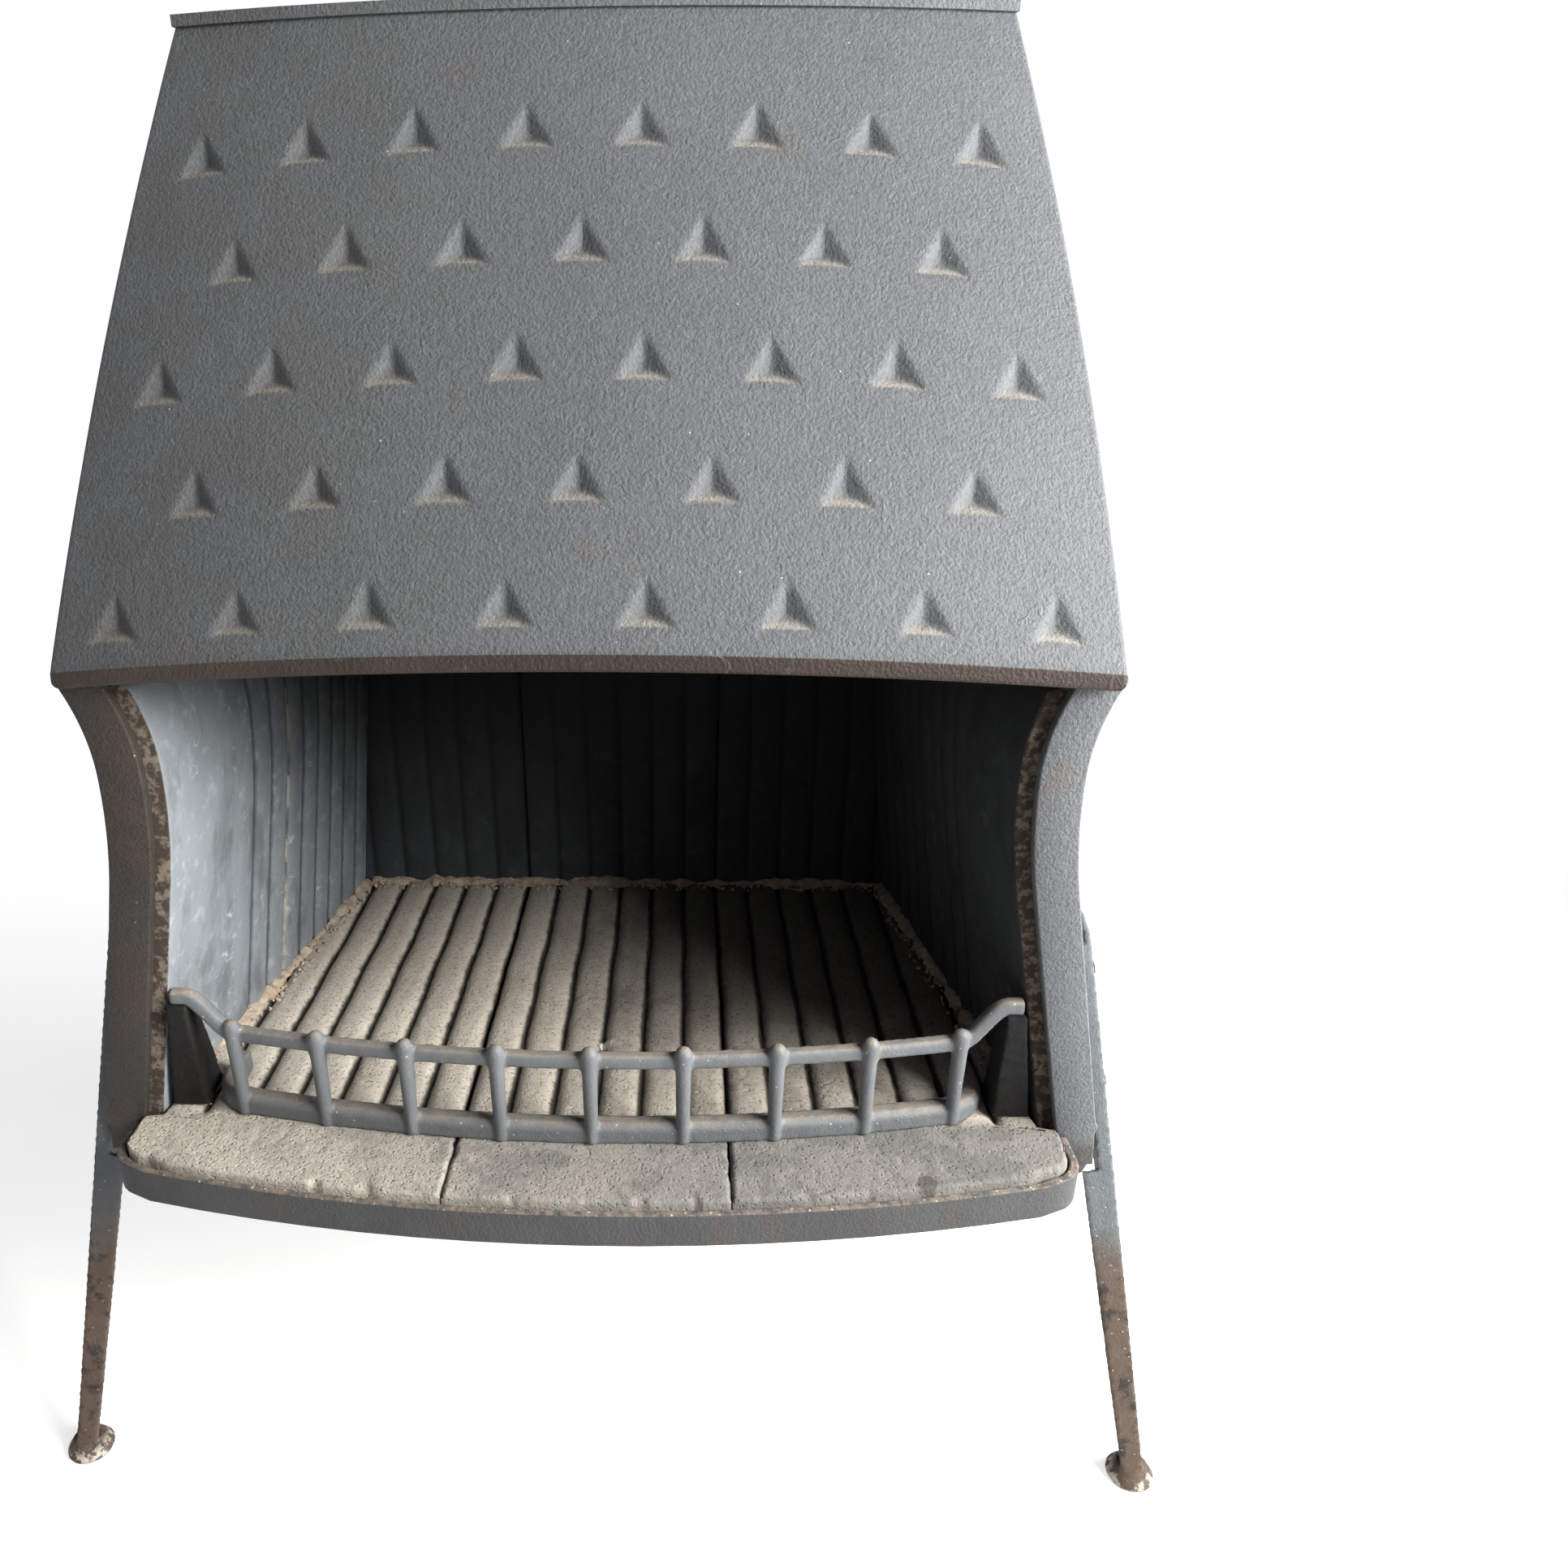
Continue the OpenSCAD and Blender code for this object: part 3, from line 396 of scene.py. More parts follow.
def bare_casting():
    """Dark grey casting with rusted streaks, and a sandy dusting where it faces up."""
    f = Finish("bare_casting")
    colour = f.blend(f.cloud(60, 4), (0.055, 0.057, 0.059), (0.10, 0.102, 0.105))
    streaks = f.cloud(16, 4, (1, 1, 0.18))
    colour = f.blend(f.ramp(streaks, 0.52, 0.72) * 0.4, colour, (0.12, 0.08, 0.055))
    top = f.ramp(f.facing(2), 0.35, 0.8)
    colour = f.blend(top * f.ramp(f.cloud(7, 4), 0.3, 0.66) * 0.75, colour, (0.27, 0.215, 0.165))
    colour = f.blend(top * f.spots(5, 0.22) * 0.7, colour, (0.62, 0.56, 0.46))
    return f.done(colour, f.cloud(12, 3) * 0.2 + 0.6, f.cloud(2.2, 3) + f.cloud(8, 3) * 0.8, 0.8, 0.2)


def firebrick():
    """Warm firebrick under a dusting: porous, flecked white, yellow and black; sooted in its grooves with
    painted shade there, and near-black over its right back part with sooting and a painted shadow.
    """
    f = Finish("firebrick")
    colour = f.blend(f.cloud(45, 4), (0.50, 0.44, 0.365), (0.74, 0.68, 0.59))
    colour = f.blend(f.ramp(f.cloud(3.2, 4), 0.45, 0.7) * 0.5, colour, (0.30, 0.26, 0.21))
    colour = f.blend(f.ramp(f.cloud(24, 5), 0.56, 0.7) * 0.6, colour, (0.62, 0.56, 0.47))
    colour = f.blend(f.spots(5.5, 0.2) * 0.85, colour, (0.10, 0.09, 0.08))
    colour = f.blend(f.spots(7.7, 0.17) * 0.9, colour, (0.78, 0.76, 0.70))
    colour = f.blend(f.spots(12.3, 0.12) * 0.8, colour, (0.66, 0.52, 0.27))
    grime = f.ramp(f.x + f.cloud(90, 3) * 0.2, -0.3, 0.26) * 0.78
    grime = grime + f.ramp(f.cloud(28, 5), 0.45, 0.65) * 0.2 + 0.1
    grime = f.ramp(f.y, -0.17, -0.19) * grime
    colour = f.blend(grime, colour, (0.17, 0.165, 0.155))
    # The floor grooves are painted near-black: sooted, with painted shade in them.
    soot = f.ramp(f.field("soot") + f.cloud(14, 4) * 0.5, 0.62, 1.05)
    colour = f.blend(soot * 0.94, colour, (0.035, 0.031, 0.028))
    # Painted shadow of the right cheek over the floor's right back part, with sooting.
    right_half = f.ramp(f.x + f.cloud(80, 4) * 0.16, -0.02, 0.15)
    sooty = right_half * f.ramp(f.y + f.cloud(50, 4) * 0.1, -0.12, 0.06)
    colour = f.blend(sooty * 0.75, colour, (0.03, 0.028, 0.026))
    colour = f.blend(f.patch(3, -74, 8), colour, (0.72, 0.68, 0.58))
    colour = f.blend(f.patch(243, -249, 9) * 0.7, colour, (0.07, 0.06, 0.05))
    height = f.cloud(2.4, 4) * 0.8 + f.cloud(9, 4) * 0.7 - f.spots(4.6, 0.3) * 0.5
    return f.done(colour, 0.92, height, 1.1)


def wall_brick(name, soot_share):
    """Blue-grey ribbed firebrick with white scuffs, darker towards its top and back, and sooted with
    painted shade in its grooves; the share given blackens it all over, sooted and with painted shade.
    """
    f = Finish(name)
    colour = f.blend(f.cloud(40, 4, (1, 1, 0.4)), (0.19, 0.215, 0.235), (0.32, 0.345, 0.37))
    colour = f.blend(f.ramp(f.cloud(14, 6), 0.52, 0.74) * 0.6, colour, (0.46, 0.48, 0.50))
    colour = f.blend(f.ramp(f.cloud(44, 5, (1, 1, 0.45)), 0.48, 0.68) * 0.6, colour, (0.10, 0.108, 0.115))
    scuffs = f.hairline(28, 0.012, (2, 5, 1)) * f.ramp(f.cloud(60, 3), 0.56, 0.66)
    colour = f.blend(scuffs * 0.5, colour, (0.66, 0.68, 0.70))
    colour = f.blend(f.ramp(f.cloud(30, 5), 0.66, 0.74) * 0.6, colour, (0.66, 0.68, 0.68))
    # The rib grooves are painted darker: sooted, with painted shade in them.
    colour = f.blend(f.ramp(f.field("soot") + f.cloud(10, 4) * 0.4, 0.6, 1.05) * 0.8,
                     colour, (0.06, 0.066, 0.075))
    colour = f.blend(f.field("chalk") * f.ramp(f.cloud(9, 4, (1, 1, 0.3)), 0.40, 0.58),
                     colour, (0.62, 0.56, 0.46))
    colour = f.blend(f.spots(11, 0.06) * 0.5, colour, (0.10, 0.10, 0.10))
    # Darker towards the top and back; the share given makes it near-black all over: sooting with painted
    # shade.
    black = f.ramp(f.z + f.y * 0.55 + f.cloud(70, 3) * 0.10, 0.52, 0.80) * (1 - soot_share) + soot_share
    colour = f.blend(black, colour, (0.024, 0.025, 0.027))
    torn = f.ramp(f.facing(1), -0.5, -0.8) * f.ramp(f.y, -0.160, -0.168)
    broken = f.blend(f.ramp(f.cloud(6, 5), 0.45, 0.62), (0.05, 0.039, 0.032), (0.155, 0.128, 0.102))
    colour = f.blend(torn, colour, broken)
    return f.done(colour, 0.88, f.cloud(2.6, 4) + f.cloud(12, 4) * 0.6, 0.7)


def fire_cement(name, pale, pink):
    """Crumbling cream and pinkish cement."""
    f = Finish(name)
    colour = f.blend(f.ramp(f.cloud(11, 4), 0.4, 0.62), pale, pink)
    colour = f.blend(f.ramp(f.cloud(4, 4), 0.55, 0.75) * 0.6, colour, (0.26, 0.2, 0.15))
    colour = f.blend(f.spots(4, 0.2) * 0.6, colour, (0.80, 0.74, 0.62))
    return f.done(colour, 0.95, f.cloud(2.2, 4) + f.cloud(7, 3), 1.2)


def fender_iron():
    """Dark blue-grey iron, with a sandy dusting on its tops and rusty on its hooks."""
    f = Finish("fender_iron")
    colour = f.blend(f.cloud(30, 4), (0.105, 0.114, 0.121), (0.18, 0.192, 0.20))
    colour = f.blend(f.ramp(f.cloud(18, 5), 0.58, 0.72) * 0.5, colour, (0.15, 0.10, 0.07))
    top = f.ramp(f.facing(2), 0.5, 0.9)
    colour = f.blend(top * f.ramp(f.cloud(8, 4), 0.2, 0.62) * 0.75, colour, (0.30, 0.255, 0.205))
    ends = f.ramp(f.math("ABSOLUTE", f.x), 0.285, 0.32) * f.ramp(f.facing(2), 0.2, 0.7)
    colour = f.blend(ends * f.ramp(f.cloud(9, 4), 0.3, 0.6) * 0.8, colour, (0.42, 0.34, 0.26))
    colour = f.blend(f.spots(9, 0.1) * 0.7, colour, (0.66, 0.62, 0.54))
    return f.done(colour, f.cloud(14, 3) * 0.3 + 0.42, f.cloud(1.7, 3) + f.cloud(6, 3) * 0.5, 0.5, 0.45)


def sooty_iron():
    """Near-black iron: sooted, with painted shade as it stands in shadow."""
    f = Finish("sooty_iron")
    colour = f.blend(f.cloud(9, 4), (0.012, 0.012, 0.013), (0.034, 0.033, 0.032))
    return f.done(colour, 0.75, f.cloud(2.5, 3), 0.5)


def rusty_leg():
    """Brown rusted iron, still blue-grey at its top, with pale chips at the foot."""
    f = Finish("rusty_leg")
    colour = f.blend(f.cloud(22, 5), (0.085, 0.06, 0.046), (0.16, 0.12, 0.096))
    colour = f.blend(f.ramp(f.cloud(15, 5), 0.48, 0.62) * 0.8, colour, (0.028, 0.027, 0.026))
    grey = f.ramp(f.z + f.cloud(50, 4) * 0.12, 0.26, 0.33)
    colour = f.blend(grey, colour, f.blend(f.cloud(40, 3), (0.12, 0.135, 0.145), (0.19, 0.205, 0.215)))
    colour = f.blend(f.spots(8, 0.12) * 0.7, colour, (0.55, 0.48, 0.40))
    chips = f.ramp(f.z, 0.016, 0.006) * f.ramp(f.cloud(9, 4), 0.46, 0.56)
    colour = f.blend(chips, colour, (0.60, 0.55, 0.46))
    return f.done(colour, f.cloud(10, 3) * 0.25 + 0.6, f.cloud(1.8, 3) + f.cloud(7, 4), 0.7, 0.2)


def rusty_steel():
    f = Finish("rusty_steel")
    colour = f.blend(f.cloud(5, 5), (0.06, 0.046, 0.038), (0.14, 0.088, 0.06))
    return f.done(colour, 0.72, f.cloud(1.5, 4), 0.5)


HOOD_PAINT = stove_paint("hood_paint", light=(0.124, 0.131, 0.137), dark=(0.088, 0.094, 0.099),
                         brown=(0.12, 0.10, 0.085), brown_share=0.15)
# Lit and shaded copies: the right cheek's paint is lighter, painted light; the left cheek's is far darker
# and browner, brown wear with painted shade.
RIGHT_LIT_PAINT = stove_paint("right_cheek_lit_paint", light=(0.156, 0.166, 0.174), dark=(0.116, 0.125, 0.132),
                          brown=(0.15, 0.12, 0.10), brown_share=0.3)
LEFT_SHADED_PAINT = stove_paint("left_cheek_shaded_paint", light=(0.044, 0.044, 0.042), dark=(0.024, 0.022, 0.021),
                         brown=(0.052, 0.037, 0.029), brown_share=0.85)
SHADE_BLACK_IRON = sooty_iron()
CASTING = bare_casting()
FLOOR_BRICK = firebrick()
# The right and back walls' copy is near-black, sooted and with painted shade; the left wall's copy is lit.
LIT_BRICK = wall_brick("wall_firebrick", soot_share=0.0)
SHADED_BRICK = wall_brick("sooted_firebrick", soot_share=0.86)
CREAM_CEMENT = fire_cement("fire_cement", pale=(0.58, 0.49, 0.38), pink=(0.45, 0.34, 0.26))
FENDER_IRON = fender_iron()
RUSTY_LEG = rusty_leg()
RUSTY_STEEL = rusty_steel()


# ---- hood ----
def dents():
    """Middle of the base of each dent, across and up the plate."""
    for row in range(5):
        count, pitch = 8 - row % 2, DENT_PITCH - DENT_PITCH_STEP * row
        for i in range(count):
            yield (i - (count - 1) / 2) * pitch, FIRST_DENT + row * DENT_ROW


def dent_depth(x, s):
    """Depth of the dents at points of the plate, how far each is on a lower face, and on its rim, which is
    painted pale: a dusting with a painted highlight.
    """
    depth, low, rim = np.zeros_like(x), np.zeros_like(x), np.zeros_like(x)
    for k, (mx, ms) in enumerate(dents()):
        near = (np.abs(x - mx) < 24) & (s > ms - 8) & (s < ms + 40)
        skew = 1 + 0.05 * math.sin(k * 2.3)
        u, v = x[near] - mx, (s[near] - ms + 1.5) * skew
        slant = math.hypot(DENT_H, DENT_W / 2)
        reach = DENT_H * DENT_W / 3 / slant
        arch = 1.2 * (1 - (2 * u / DENT_W) ** 2)
        sides = [(v - arch) / (DENT_H / 3)]
        for m in (1, -1):
            sides.append((DENT_H * (DENT_W / 2 - m * u) - v * DENT_W / 2) / slant / reach)
        sides = np.stack(sides)
        inner = -np.log(np.sum(np.exp(-sides / 0.05), axis=0)) * 0.05
        depth[near] = np.logaddexp(0, inner / 0.035) * 0.035 * DENT_DEPTH * (1 + 0.06 * math.sin(k * 5.1))
        lower = np.exp(-sides[0] / 0.09) / np.sum(np.exp(-sides / 0.09), axis=0)
        low[near] = lower * np.clip(inner * 6, 0, 1)
        rim[near] = low[near] * ease(1.3 - 1.3 * sides[0])
    return depth, low, rim


def hood_half(s):
    """Half of the hood's width, s up its slope."""
    up = s / HOOD_LEN
    return mix(HOOD_HALF_W, HOOD_TOP_HALF_W, up) + 4 * HOOD_EDGE_BOW * up * (1 - up)


def hood_section():
    """The front plate's section, as points up its slope and behind its face, in four runs."""
    down = np.array([-math.cos(HOOD_LEAN), math.sin(HOOD_LEAN)])
    front_start = 4 + TURN_R - 1.6
    turn = [(front_start - TURN_R * math.sin(a), TURN_R * (1 - math.cos(a)))
            for a in np.linspace(0, HOOD_LEAN, 5)]
    start = np.array(turn[-1])
    lip = [start + down * t for t in (2, 4, 6, 7.6)]
    for t, hollow in ((8.9, (0.1, 0.35)), (9.4, (0.2, 1.3)), (8.9, (0.9, 2.6))):
        lip.append(start + down * t + np.array(hollow))
    back = [start + down * 3 + np.array([1.6, 3.4]), (12.0, HOOD_T)]
    back += [(s, HOOD_T) for s in np.linspace(40, HOOD_LEN, 9)]
    front = [(s, 0.0) for s in np.linspace(HOOD_LEN, turn[0][0] + 2, HOOD_ROWS)]
    return front, turn, lip, back


def hood_front():
    """The bowed, dented front plate, as one skin from its top down to the lip and up its back."""
    front, turn, lip, back = hood_section()
    path = np.array(front + turn + [tuple(p) for p in lip + back])
    skin = len(front)
    edge = np.array([0.0, 0.25, 0.9, 1.9, 3.4, 5.0])
    inner = np.linspace(-1, 1, HOOD_COLS)[:, None] * (HOOD_HALF_W - 7.0)
    v = np.concatenate([edge - HOOD_HALF_W, inner.ravel(), HOOD_HALF_W - edge[::-1]]) / HOOD_HALF_W
    half = hood_half(np.clip(path[:, 0], 0, None)) - LIP_TAPER * np.clip(-path[:, 0] / 6, 0, 1) ** 1.5
    x = v[None, :] * half[:, None]
    top = (HOOD_TOP_Z - LIP_Z + (bow(x) + path[:, 1:]) * math.sin(HOOD_LEAN)) / math.cos(HOOD_LEAN)
    s = np.where(path[:, :1] > 12, 12 + (path[:, :1] - 12) * (top - 12) / (HOOD_LEN - 12), path[:, :1])
    deep = np.repeat(path[:, 1:], x.shape[1], axis=1)
    # The dents' lower rims are painted pale: a dusting with a painted highlight.
    cut, low, dusty = dent_depth(x, s)
    for values in (cut, low, dusty):
        values[skin:] = 0
    deep = deep + cut
    near = np.clip((1 - np.abs(v)) * HOOD_HALF_W, 0, 3.5)[None, :]
    middle = np.where(path[:, :1] < 8, 4.0, HOOD_T / 2)
    deep = mix(middle, deep, np.sqrt(np.clip(1 - (1 - near / 3.5) ** 2, 0, 1)))
    radius = BOW_R - deep
    turned = x / BOW_R
    hx, hy = radius * np.sin(turned), BOW_R - radius * np.cos(turned)
    points = np.stack([hx, LIP_Y + hy * math.cos(HOOD_LEAN) + s * math.sin(HOOD_LEAN),
                       LIP_Z - hy * math.sin(HOOD_LEAN) + s * math.cos(HOOD_LEAN)], -1)
    points += np.array([0, -1, 0]) * (lumps(points, 60, 5) * 0.25)[..., None]
    points[..., 2] = np.minimum(points[..., 2], HOOD_TOP_Z)
    on_lip = np.zeros_like(x)
    on_lip[skin + 2 : skin + len(turn) + len(lip) + 2] = 1.0
    # The lip and the plate's bottom edge are painted near-black: rusted, with painted shade.
    lip_rust_and_shade = on_lip * 0.95 + ease((12 - s) / 14) * 0.35 * (1 - on_lip)
    faces = grid_faces(*x.shape)
    rows, cols = x.shape
    close = [[j, (rows - 1) * cols + j, (rows - 1) * cols + j + 1, j + 1] for j in range(cols - 1)]
    mesh = mesh_of(points, faces, close, rust=lip_rust_and_shade + low * 0.3, dust=np.maximum(low * 0.3, dusty * 0.85))
    finish_piece(new_object("hood_front_cast", mesh), HOOD_PAINT, "stove_paint", "hood_front")


# ---- cheeks ----
def cheek(side, paint):
    """One side casting: a curved front flange, the plate behind it, its rear flange and its foot."""
    z = np.concatenate([[TRAY_Z - HEARTH_H, -26, -17, -9, -4, -2, 0, 1.5, 3, 4.5, 6, 9, 14],
                        np.linspace(20, 200, 46), np.linspace(203, CHEEK_H, 56)])
    a, b = FLANGE_Y, BACK_IN_Y
    bead_of_lip = 1.5 * np.exp(-(((z - 3) / 2.2) ** 2))
    below = np.clip(-z / 43, 0, 1)
    tuck = 1.2 * ease(below * 8) + 4.0 * below - bead_of_lip
    ring = [(cheek_front(z) - tuck, a + 0.3 * np.clip(tuck, 0, None)), (cheek_x(a + 20, z), a + 20),
            (cheek_x(b, z), b), (cheek_x(b, z) - BACK_FLANGE, b), (cheek_x(b, z) - BACK_FLANGE, b - WALL),
            (cheek_x(b - WALL, z) - WALL, b - WALL), (cheek_x(a + FLANGE_T, z) - WALL, a + FLANGE_T),
            (cheek_front(z) - FLANGE_W, a + FLANGE_T),
            (cheek_front(z) - FLANGE_W, a + 0.3 * np.clip(tuck, 0, None))]
    points = np.stack([np.stack([side * x, y + 0 * z, HEARTH_H + z], -1) for x, y in ring], 1)
    n = len(ring)
    mesh = mesh_of(points, grid_faces(len(z), n, True),
                   [list(range(n)), [(len(z) - 1) * n + k for k in range(n)]])
    levels = ((307.0, 17.0, 5.0), (312.0, 19.5, 3.0), (TRAY_Z + 1, 27.0, 1.0))
    skirt = [[(side * (cheek_front(0) - inset), FLANGE_Y + y, level)
              for inset, y in ((inner, 1.5), (outer, 1.5), (outer, 16), (inner, 16))]
             for level, inner, outer in levels]
    foot = mesh_of(skirt, grid_faces(3, 4, True), [range(4), range(8, 12)])
    shape = bmesh.new()
    shape.from_mesh(mesh)
    shape.from_mesh(foot)
    shape.to_mesh(mesh)
    shape.free()
    name = "cheek_right" if side > 0 else "cheek_left"
    made = new_object(name + "_cast", mesh)
    modify(made, "BEVEL", width=0.0016, segments=3, limit_method="ANGLE", angle_limit=math.radians(30))
    finish_piece(settle(made), paint, "stove_paint", name)


# ---- tiles ----
def slab(name, front, inward, thick, dip, material, slot, worn=2.2, chip=3.0, grit=0.35, seed=1, **fields):
    """A tile from a grid of points on its fire face: worn, chipped edges and a rough face.
    front: rows x columns x 3, in millimetres. inward: the way the thickness goes.
    dip: depth of the grooves."""
    rows, cols = front.shape[:2]
    across = np.concatenate([[0], np.cumsum(np.linalg.norm(np.diff(front[rows // 2], axis=0), axis=-1))])
    along = np.concatenate([[0], np.cumsum(np.linalg.norm(np.diff(front[:, cols // 2], axis=0), axis=-1))])
    reach = np.minimum(np.minimum(along, along[-1] - along)[:, None],
                       np.minimum(across, across[-1] - across)[None, :])
    ragged = worn + chip * np.clip(rough(front, 13, seed) - 0.15, 0, 1) ** 1.5 * 2
    fall = ragged - np.sqrt(np.clip(ragged**2 - np.clip(ragged - reach, 0, None) ** 2, 0, None))
    skin = fall + grit * rough(front, 5, seed + 9) + 0.9 * grit * rough(front, 30, seed + 4)
    inward = np.asarray(inward, float)
    points = front + inward * np.clip(skin, 0, None)[..., None]
    edge = np.concatenate([np.arange(cols), np.arange(1, rows) * cols + cols - 1,
                           (rows - 1) * cols + np.arange(cols - 2, -1, -1),
                           np.arange(rows - 2, 0, -1) * cols])
    rim = front.reshape(-1, 3)[edge] + inward * (thick - dip.ravel()[edge])[:, None]
    top = rows * cols
    n = len(edge)
    wall = np.stack([edge, np.roll(edge, -1), top + (np.arange(n) + 1) % n, top + np.arange(n)], -1)

    def left(r):
        return top + (n - r) % n

    def right(r):
        return top + cols - 1 + r

    back = [[left(r), right(r), right(r + 1), left(r + 1)] for r in range(1, rows - 2)]
    back.append([top + k for k in range(cols)] + [right(1), left(1)])
    back.append([left(rows - 2), right(rows - 2)]
                + [top + k for k in range(cols + rows - 2, 2 * cols + rows - 2)])
    faces = np.concatenate([grid_faces(rows, cols)[:, ::-1], wall])
    fields = {k: np.concatenate([np.asarray(f).ravel(), np.zeros(n)]) for k, f in fields.items()}
    mesh = mesh_of(np.concatenate([points.reshape(-1, 3), rim]), faces, back, **fields)
    return finish_piece(new_object(name + "_brick", mesh), material, slot, name, crease=60)


def ledge_front(x):
    """Front edge of the hearth surface: bowed, with a round corner at each end."""
    x = np.abs(x)
    sweep = 4 * ease((x - LEDGE_BOW_END + 20) / 20)
    past = np.clip(x - LEDGE_BOW_END, 0, LEDGE_CORNER_R)
    corner = LEDGE_CORNER_R - np.sqrt(np.clip(LEDGE_CORNER_R**2 - past**2, 0, None))
    return FRONT_Y + 7.5 + bow(np.minimum(x, LEDGE_BOW_END)) + sweep + corner


def hearth_tile(name, x0, x1, seed):
    cols = int((x1 - x0) / 1.9)
    u, v = np.meshgrid(np.linspace(0, 1, cols), np.linspace(0, 1, 268))
    x = mix(x0, x1, u)
    y = mix(ledge_front(x), BACK_FACE_Y - 1, v)
    narrow = np.where(y < FLANGE_Y, HEARTH_HALF_W, lining_x(np.maximum(y, LINING_Y), 0.0) - 1)
    narrow = mix(HEARTH_HALF_W, narrow, ease((y - FLANGE_Y + 6) / 8))
    right = np.minimum(mix(x0, np.minimum(x1, narrow), u), x1) if x1 >= HEARTH_HALF_W else x
    left = np.maximum(mix(np.maximum(x0, -narrow), x1, u), x0) if x0 <= -HEARTH_HALF_W else x
    x = np.where(x > 0, right, left)
    fade = ease((y - LEDGE_Y + 2) / 16)
    wander = 1.1 * lumps(np.stack([x * 0, y, x * 0 + seed], -1), 55, 3)
    groove = rib_dip(x + wander, 1.0)
    dip = HEARTH_GROOVE * groove * fade
    points = np.stack([x, y, HEARTH_H - dip], -1)
    # The grooves' field carries sooting and painted shade.
    slab(name, points, (0, 0, -1), HEARTH_TILE_T, dip, FLOOR_BRICK, "firebrick",
         worn=2.4, chip=5.0, grit=0.4, seed=seed, soot=groove * fade)


def side_tile(name, side, y0, y1, material, seed):
    v, u = np.meshgrid(np.linspace(0, 1, 118), np.linspace(0, 1, int((y1 - y0) / 1.7)), indexing="ij")
    z, y = mix(LINING_Z, LINING_TOP, v), mix(y0, y1, u)
    along = BACK_FACE_Y - y
    groove = np.where(along > 9 * RIB_PITCH, 0, rib_dip(along, 1.0))
    x = lining_x(y, z - HEARTH_H) + WALL_GROOVE * groove
    joint = ease(1 - np.abs(y - TILE_JOINT_Y) / 5)
    points = np.stack([side * x, y, z], -1)
    if side > 0:
        points = points[:, ::-1]
        groove, joint = groove[:, ::-1], joint[:, ::-1]
    # The grooves' field carries sooting and painted shade.
    slab(name, points, (side, 0, 0), SIDE_TILE_T, WALL_GROOVE * groove, material, "wall_firebrick",
         worn=1.4, chip=2.6, grit=0.22, seed=seed, soot=groove, chalk=joint)


def back_tile(name, side, seed):
    """A tile of the back wall: the middle one, or one that runs on behind the side tiles."""
    v, u = np.meshgrid(np.linspace(0, 1, 118), np.linspace(0, 1, 122 if side == 0 else 108), indexing="ij")
    z = mix(LINING_Z, LINING_TOP, v)
    outer = lining_x(BACK_FACE_Y, z - HEARTH_H) + 6
    inner = CENTRE_TILE_HALF + SEAM / 2 * (1 if side else -1)
    x = mix(inner, outer, u) if side > 0 else mix(-outer, -inner, u) if side < 0 else mix(-inner, inner, u)
    groove = rib_dip(x, 1.0)
    points = np.stack([x, BACK_FACE_Y + WALL_GROOVE * groove, z], -1)
    # The grooves' field carries sooting and painted shade.
    slab(name, points, (0, 1, 0), BACK_TILE_T, WALL_GROOVE * groove, SHADED_BRICK, "wall_firebrick",
         worn=1.2, chip=2.0, grit=0.22, seed=seed, soot=groove, chalk=groove * 0)


# ---- fire cement and crumbs ----
def bead(name, path, width, lean, seed):
    """A crumbling bead of cement along a path, thicker and thinner as it was thumbed in."""
    t = np.linspace(0, 1, 220)
    knots = np.linspace(0, 1, len(path))
    path = np.stack([np.interp(t, knots, np.array(path)[:, k]) for k in range(3)], -1)
    ahead = np.gradient(path, axis=0)
    ahead /= np.linalg.norm(ahead, axis=1)[:, None]
    out = np.cross(ahead, (0, 0, 1)) * lean
    around = np.linspace(0, math.pi / 2, 12)
    thick = width * (0.75 + 0.5 * rough(path, 16, seed))[:, None]
    up = np.array([0, 0, 1.0])
    wide, high = thick * np.cos(around), thick * np.sin(around) * 0.8
    ring = path[:, None] + out[:, None] * wide[..., None] + up * high[..., None]
    wide, high = rough(ring, 5, seed + 3) * 1.3, rough(ring, 4, seed + 7) * 0.9
    ring += out[:, None] * wide[..., None] + up * high[..., None]
    ring = np.concatenate([path[:, None] - np.array([0, 0, 2.0]), ring], axis=1)
    caps = [list(range(13)), [219 * 13 + k for k in range(13)]]
    mesh = mesh_of(ring, grid_faces(220, 13, True), caps)
    finish_piece(new_object(name + "_bead", mesh), CREAM_CEMENT, "fire_cement", name, crease=70)


